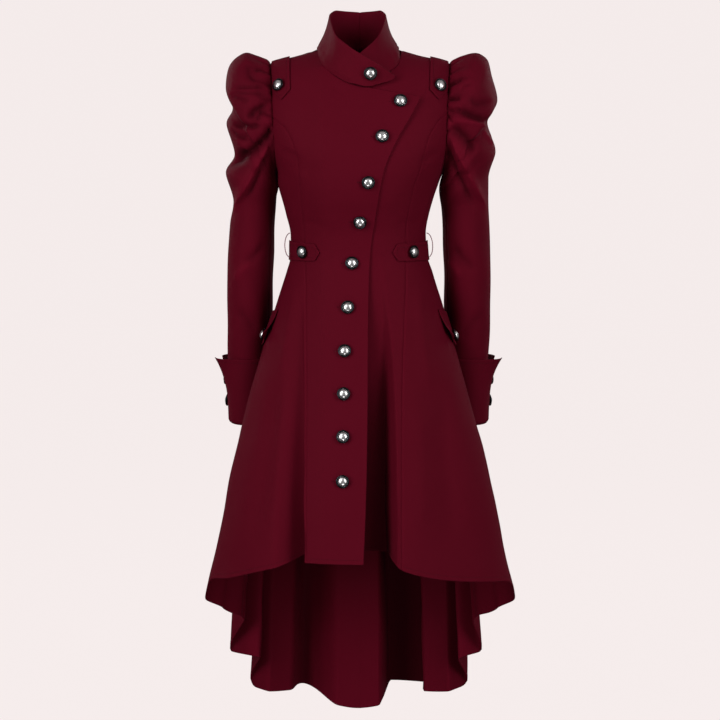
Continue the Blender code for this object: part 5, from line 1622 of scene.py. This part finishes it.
MATERIALS = {
    "cloth": cloth_material(),
    "thread": thread_material("burgundy_thread", THREAD_COLOUR),
    "loop": thread_material("loop_thread", LOOP_COLOUR),
    "dome": metal_material("polished_silver", SILVER, 0.26, 0.36),
    "rim": metal_material("dark_gunmetal", GUNMETAL, 0.22, 0.36),
}
BUTTON = button_mesh()


# Stage, lights and camera

FLOOR_HEIGHT = -1.42
CAMERA_PLACE = (0.0, -3.1761, -0.1754)
CAMERA_AIM = -0.56537


def build_stage():
    paper = backdrop_material()
    reach, sides = 9.0, 64
    disc = circle(reach, FLOOR_HEIGHT, sides)
    floor = link("floor", new_mesh("floor", disc, [list(range(sides))], [paper]))
    rises = np.radians(np.linspace(0.0, 88.0, 18))
    rings = [circle(reach * math.cos(k), FLOOR_HEIGHT + reach * math.sin(k), sides) for k in rises]
    index, quads = ring_index(len(rings), sides)
    faces = [[a, d, c, b] for a, b, c, d in quads] + [index[-1].tolist()]
    dome = link("backdrop", new_mesh("backdrop", np.concatenate(rings), faces, [paper]))
    for obj in (floor, dome):
        obj.visible_diffuse = False
        obj.visible_glossy = False
        obj.visible_shadow = False


AreaLight = namedtuple("AreaLight", "name x y z aim_z width height power")
LIGHTS = rows_of(AreaLight, [
    ("left", -2.0, -1.9, -0.15, -0.35, 1.0, 1.4, 38.0),
    ("right", 2.0, -1.9, -0.15, -0.35, 1.0, 1.4, 32.0),
    ("top_left", -1.4, -1.7, 0.8, -0.2, 0.9, 0.7, 18.0),
    ("top_right", 1.4, -1.7, 0.8, -0.2, 0.9, 0.7, 15.0), ("low", 0.0, -1.7, -2.3, -1.2, 0.6, 0.4, 9.0),
    ("back_left", -1.8, 1.8, 0.7, -0.5, 1.2, 1.2, 26.0),
    ("back_right", 1.8, 1.8, 0.7, -0.5, 1.2, 1.2, 26.0),
])


def aim(obj, place, height):
    """Put a light or camera at a place and turn it to a height on the coat's middle line."""
    obj.location = place
    way = Vector((0.0, 0.0, height)) - obj.location
    obj.rotation_euler = way.to_track_quat("-Z", "Y").to_euler()


def build_lights():
    for row in LIGHTS:
        data = bpy.data.lights.new(row.name, "AREA")
        data.energy = row.power
        data.shape = "RECTANGLE"
        data.size = row.width
        data.size_y = row.height
        aim(link(row.name, data), (row.x, row.y, row.z), row.aim_z)
    world = bpy.data.worlds.new("studio")
    bpy.context.scene.world = world
    world.use_nodes = True
    tree = world.node_tree
    place = tree.nodes.new("ShaderNodeTexCoord")
    split = tree.nodes.new("ShaderNodeSeparateXYZ")
    join(place, "Generated", split, "Vector")
    height = add_node(tree, "ShaderNodeMapRange")
    height.inputs["From Min"].default_value = -1.0
    join(split, "Z", height, "Value")
    ramp = ramp_between(tree, WORLD_LOW, WORLD_HIGH)
    join(height, "Result", ramp, "Fac")
    join(ramp, "Color", tree.nodes["Background"], "Color")
    tree.nodes["Background"].inputs["Strength"].default_value = WORLD_STRENGTH


def build_camera():
    data = bpy.data.cameras.new("camera")
    data.lens = 86.486
    data.sensor_width = 36.0
    camera = link("camera", data)
    aim(camera, CAMERA_PLACE, CAMERA_AIM)
    bpy.context.scene.camera = camera
    bpy.context.scene.view_settings.view_transform = "Standard"


build_camera()
build_lights()
build_stage()
build_panels()
build_collar()
build_sleeves()
build_cuffs()
build_waist_tabs()
build_shoulder_tabs()
build_pocket_flaps()
build_belt_loops()
build_buttons()
stitches("hem_stitching", sewing_lines["hem"], MATERIALS["thread"])
stitches("trim_stitching", sewing_lines["trim"], MATERIALS["thread"])
stitches("buttonhole_stitching", buttonhole_lines(), MATERIALS["thread"])
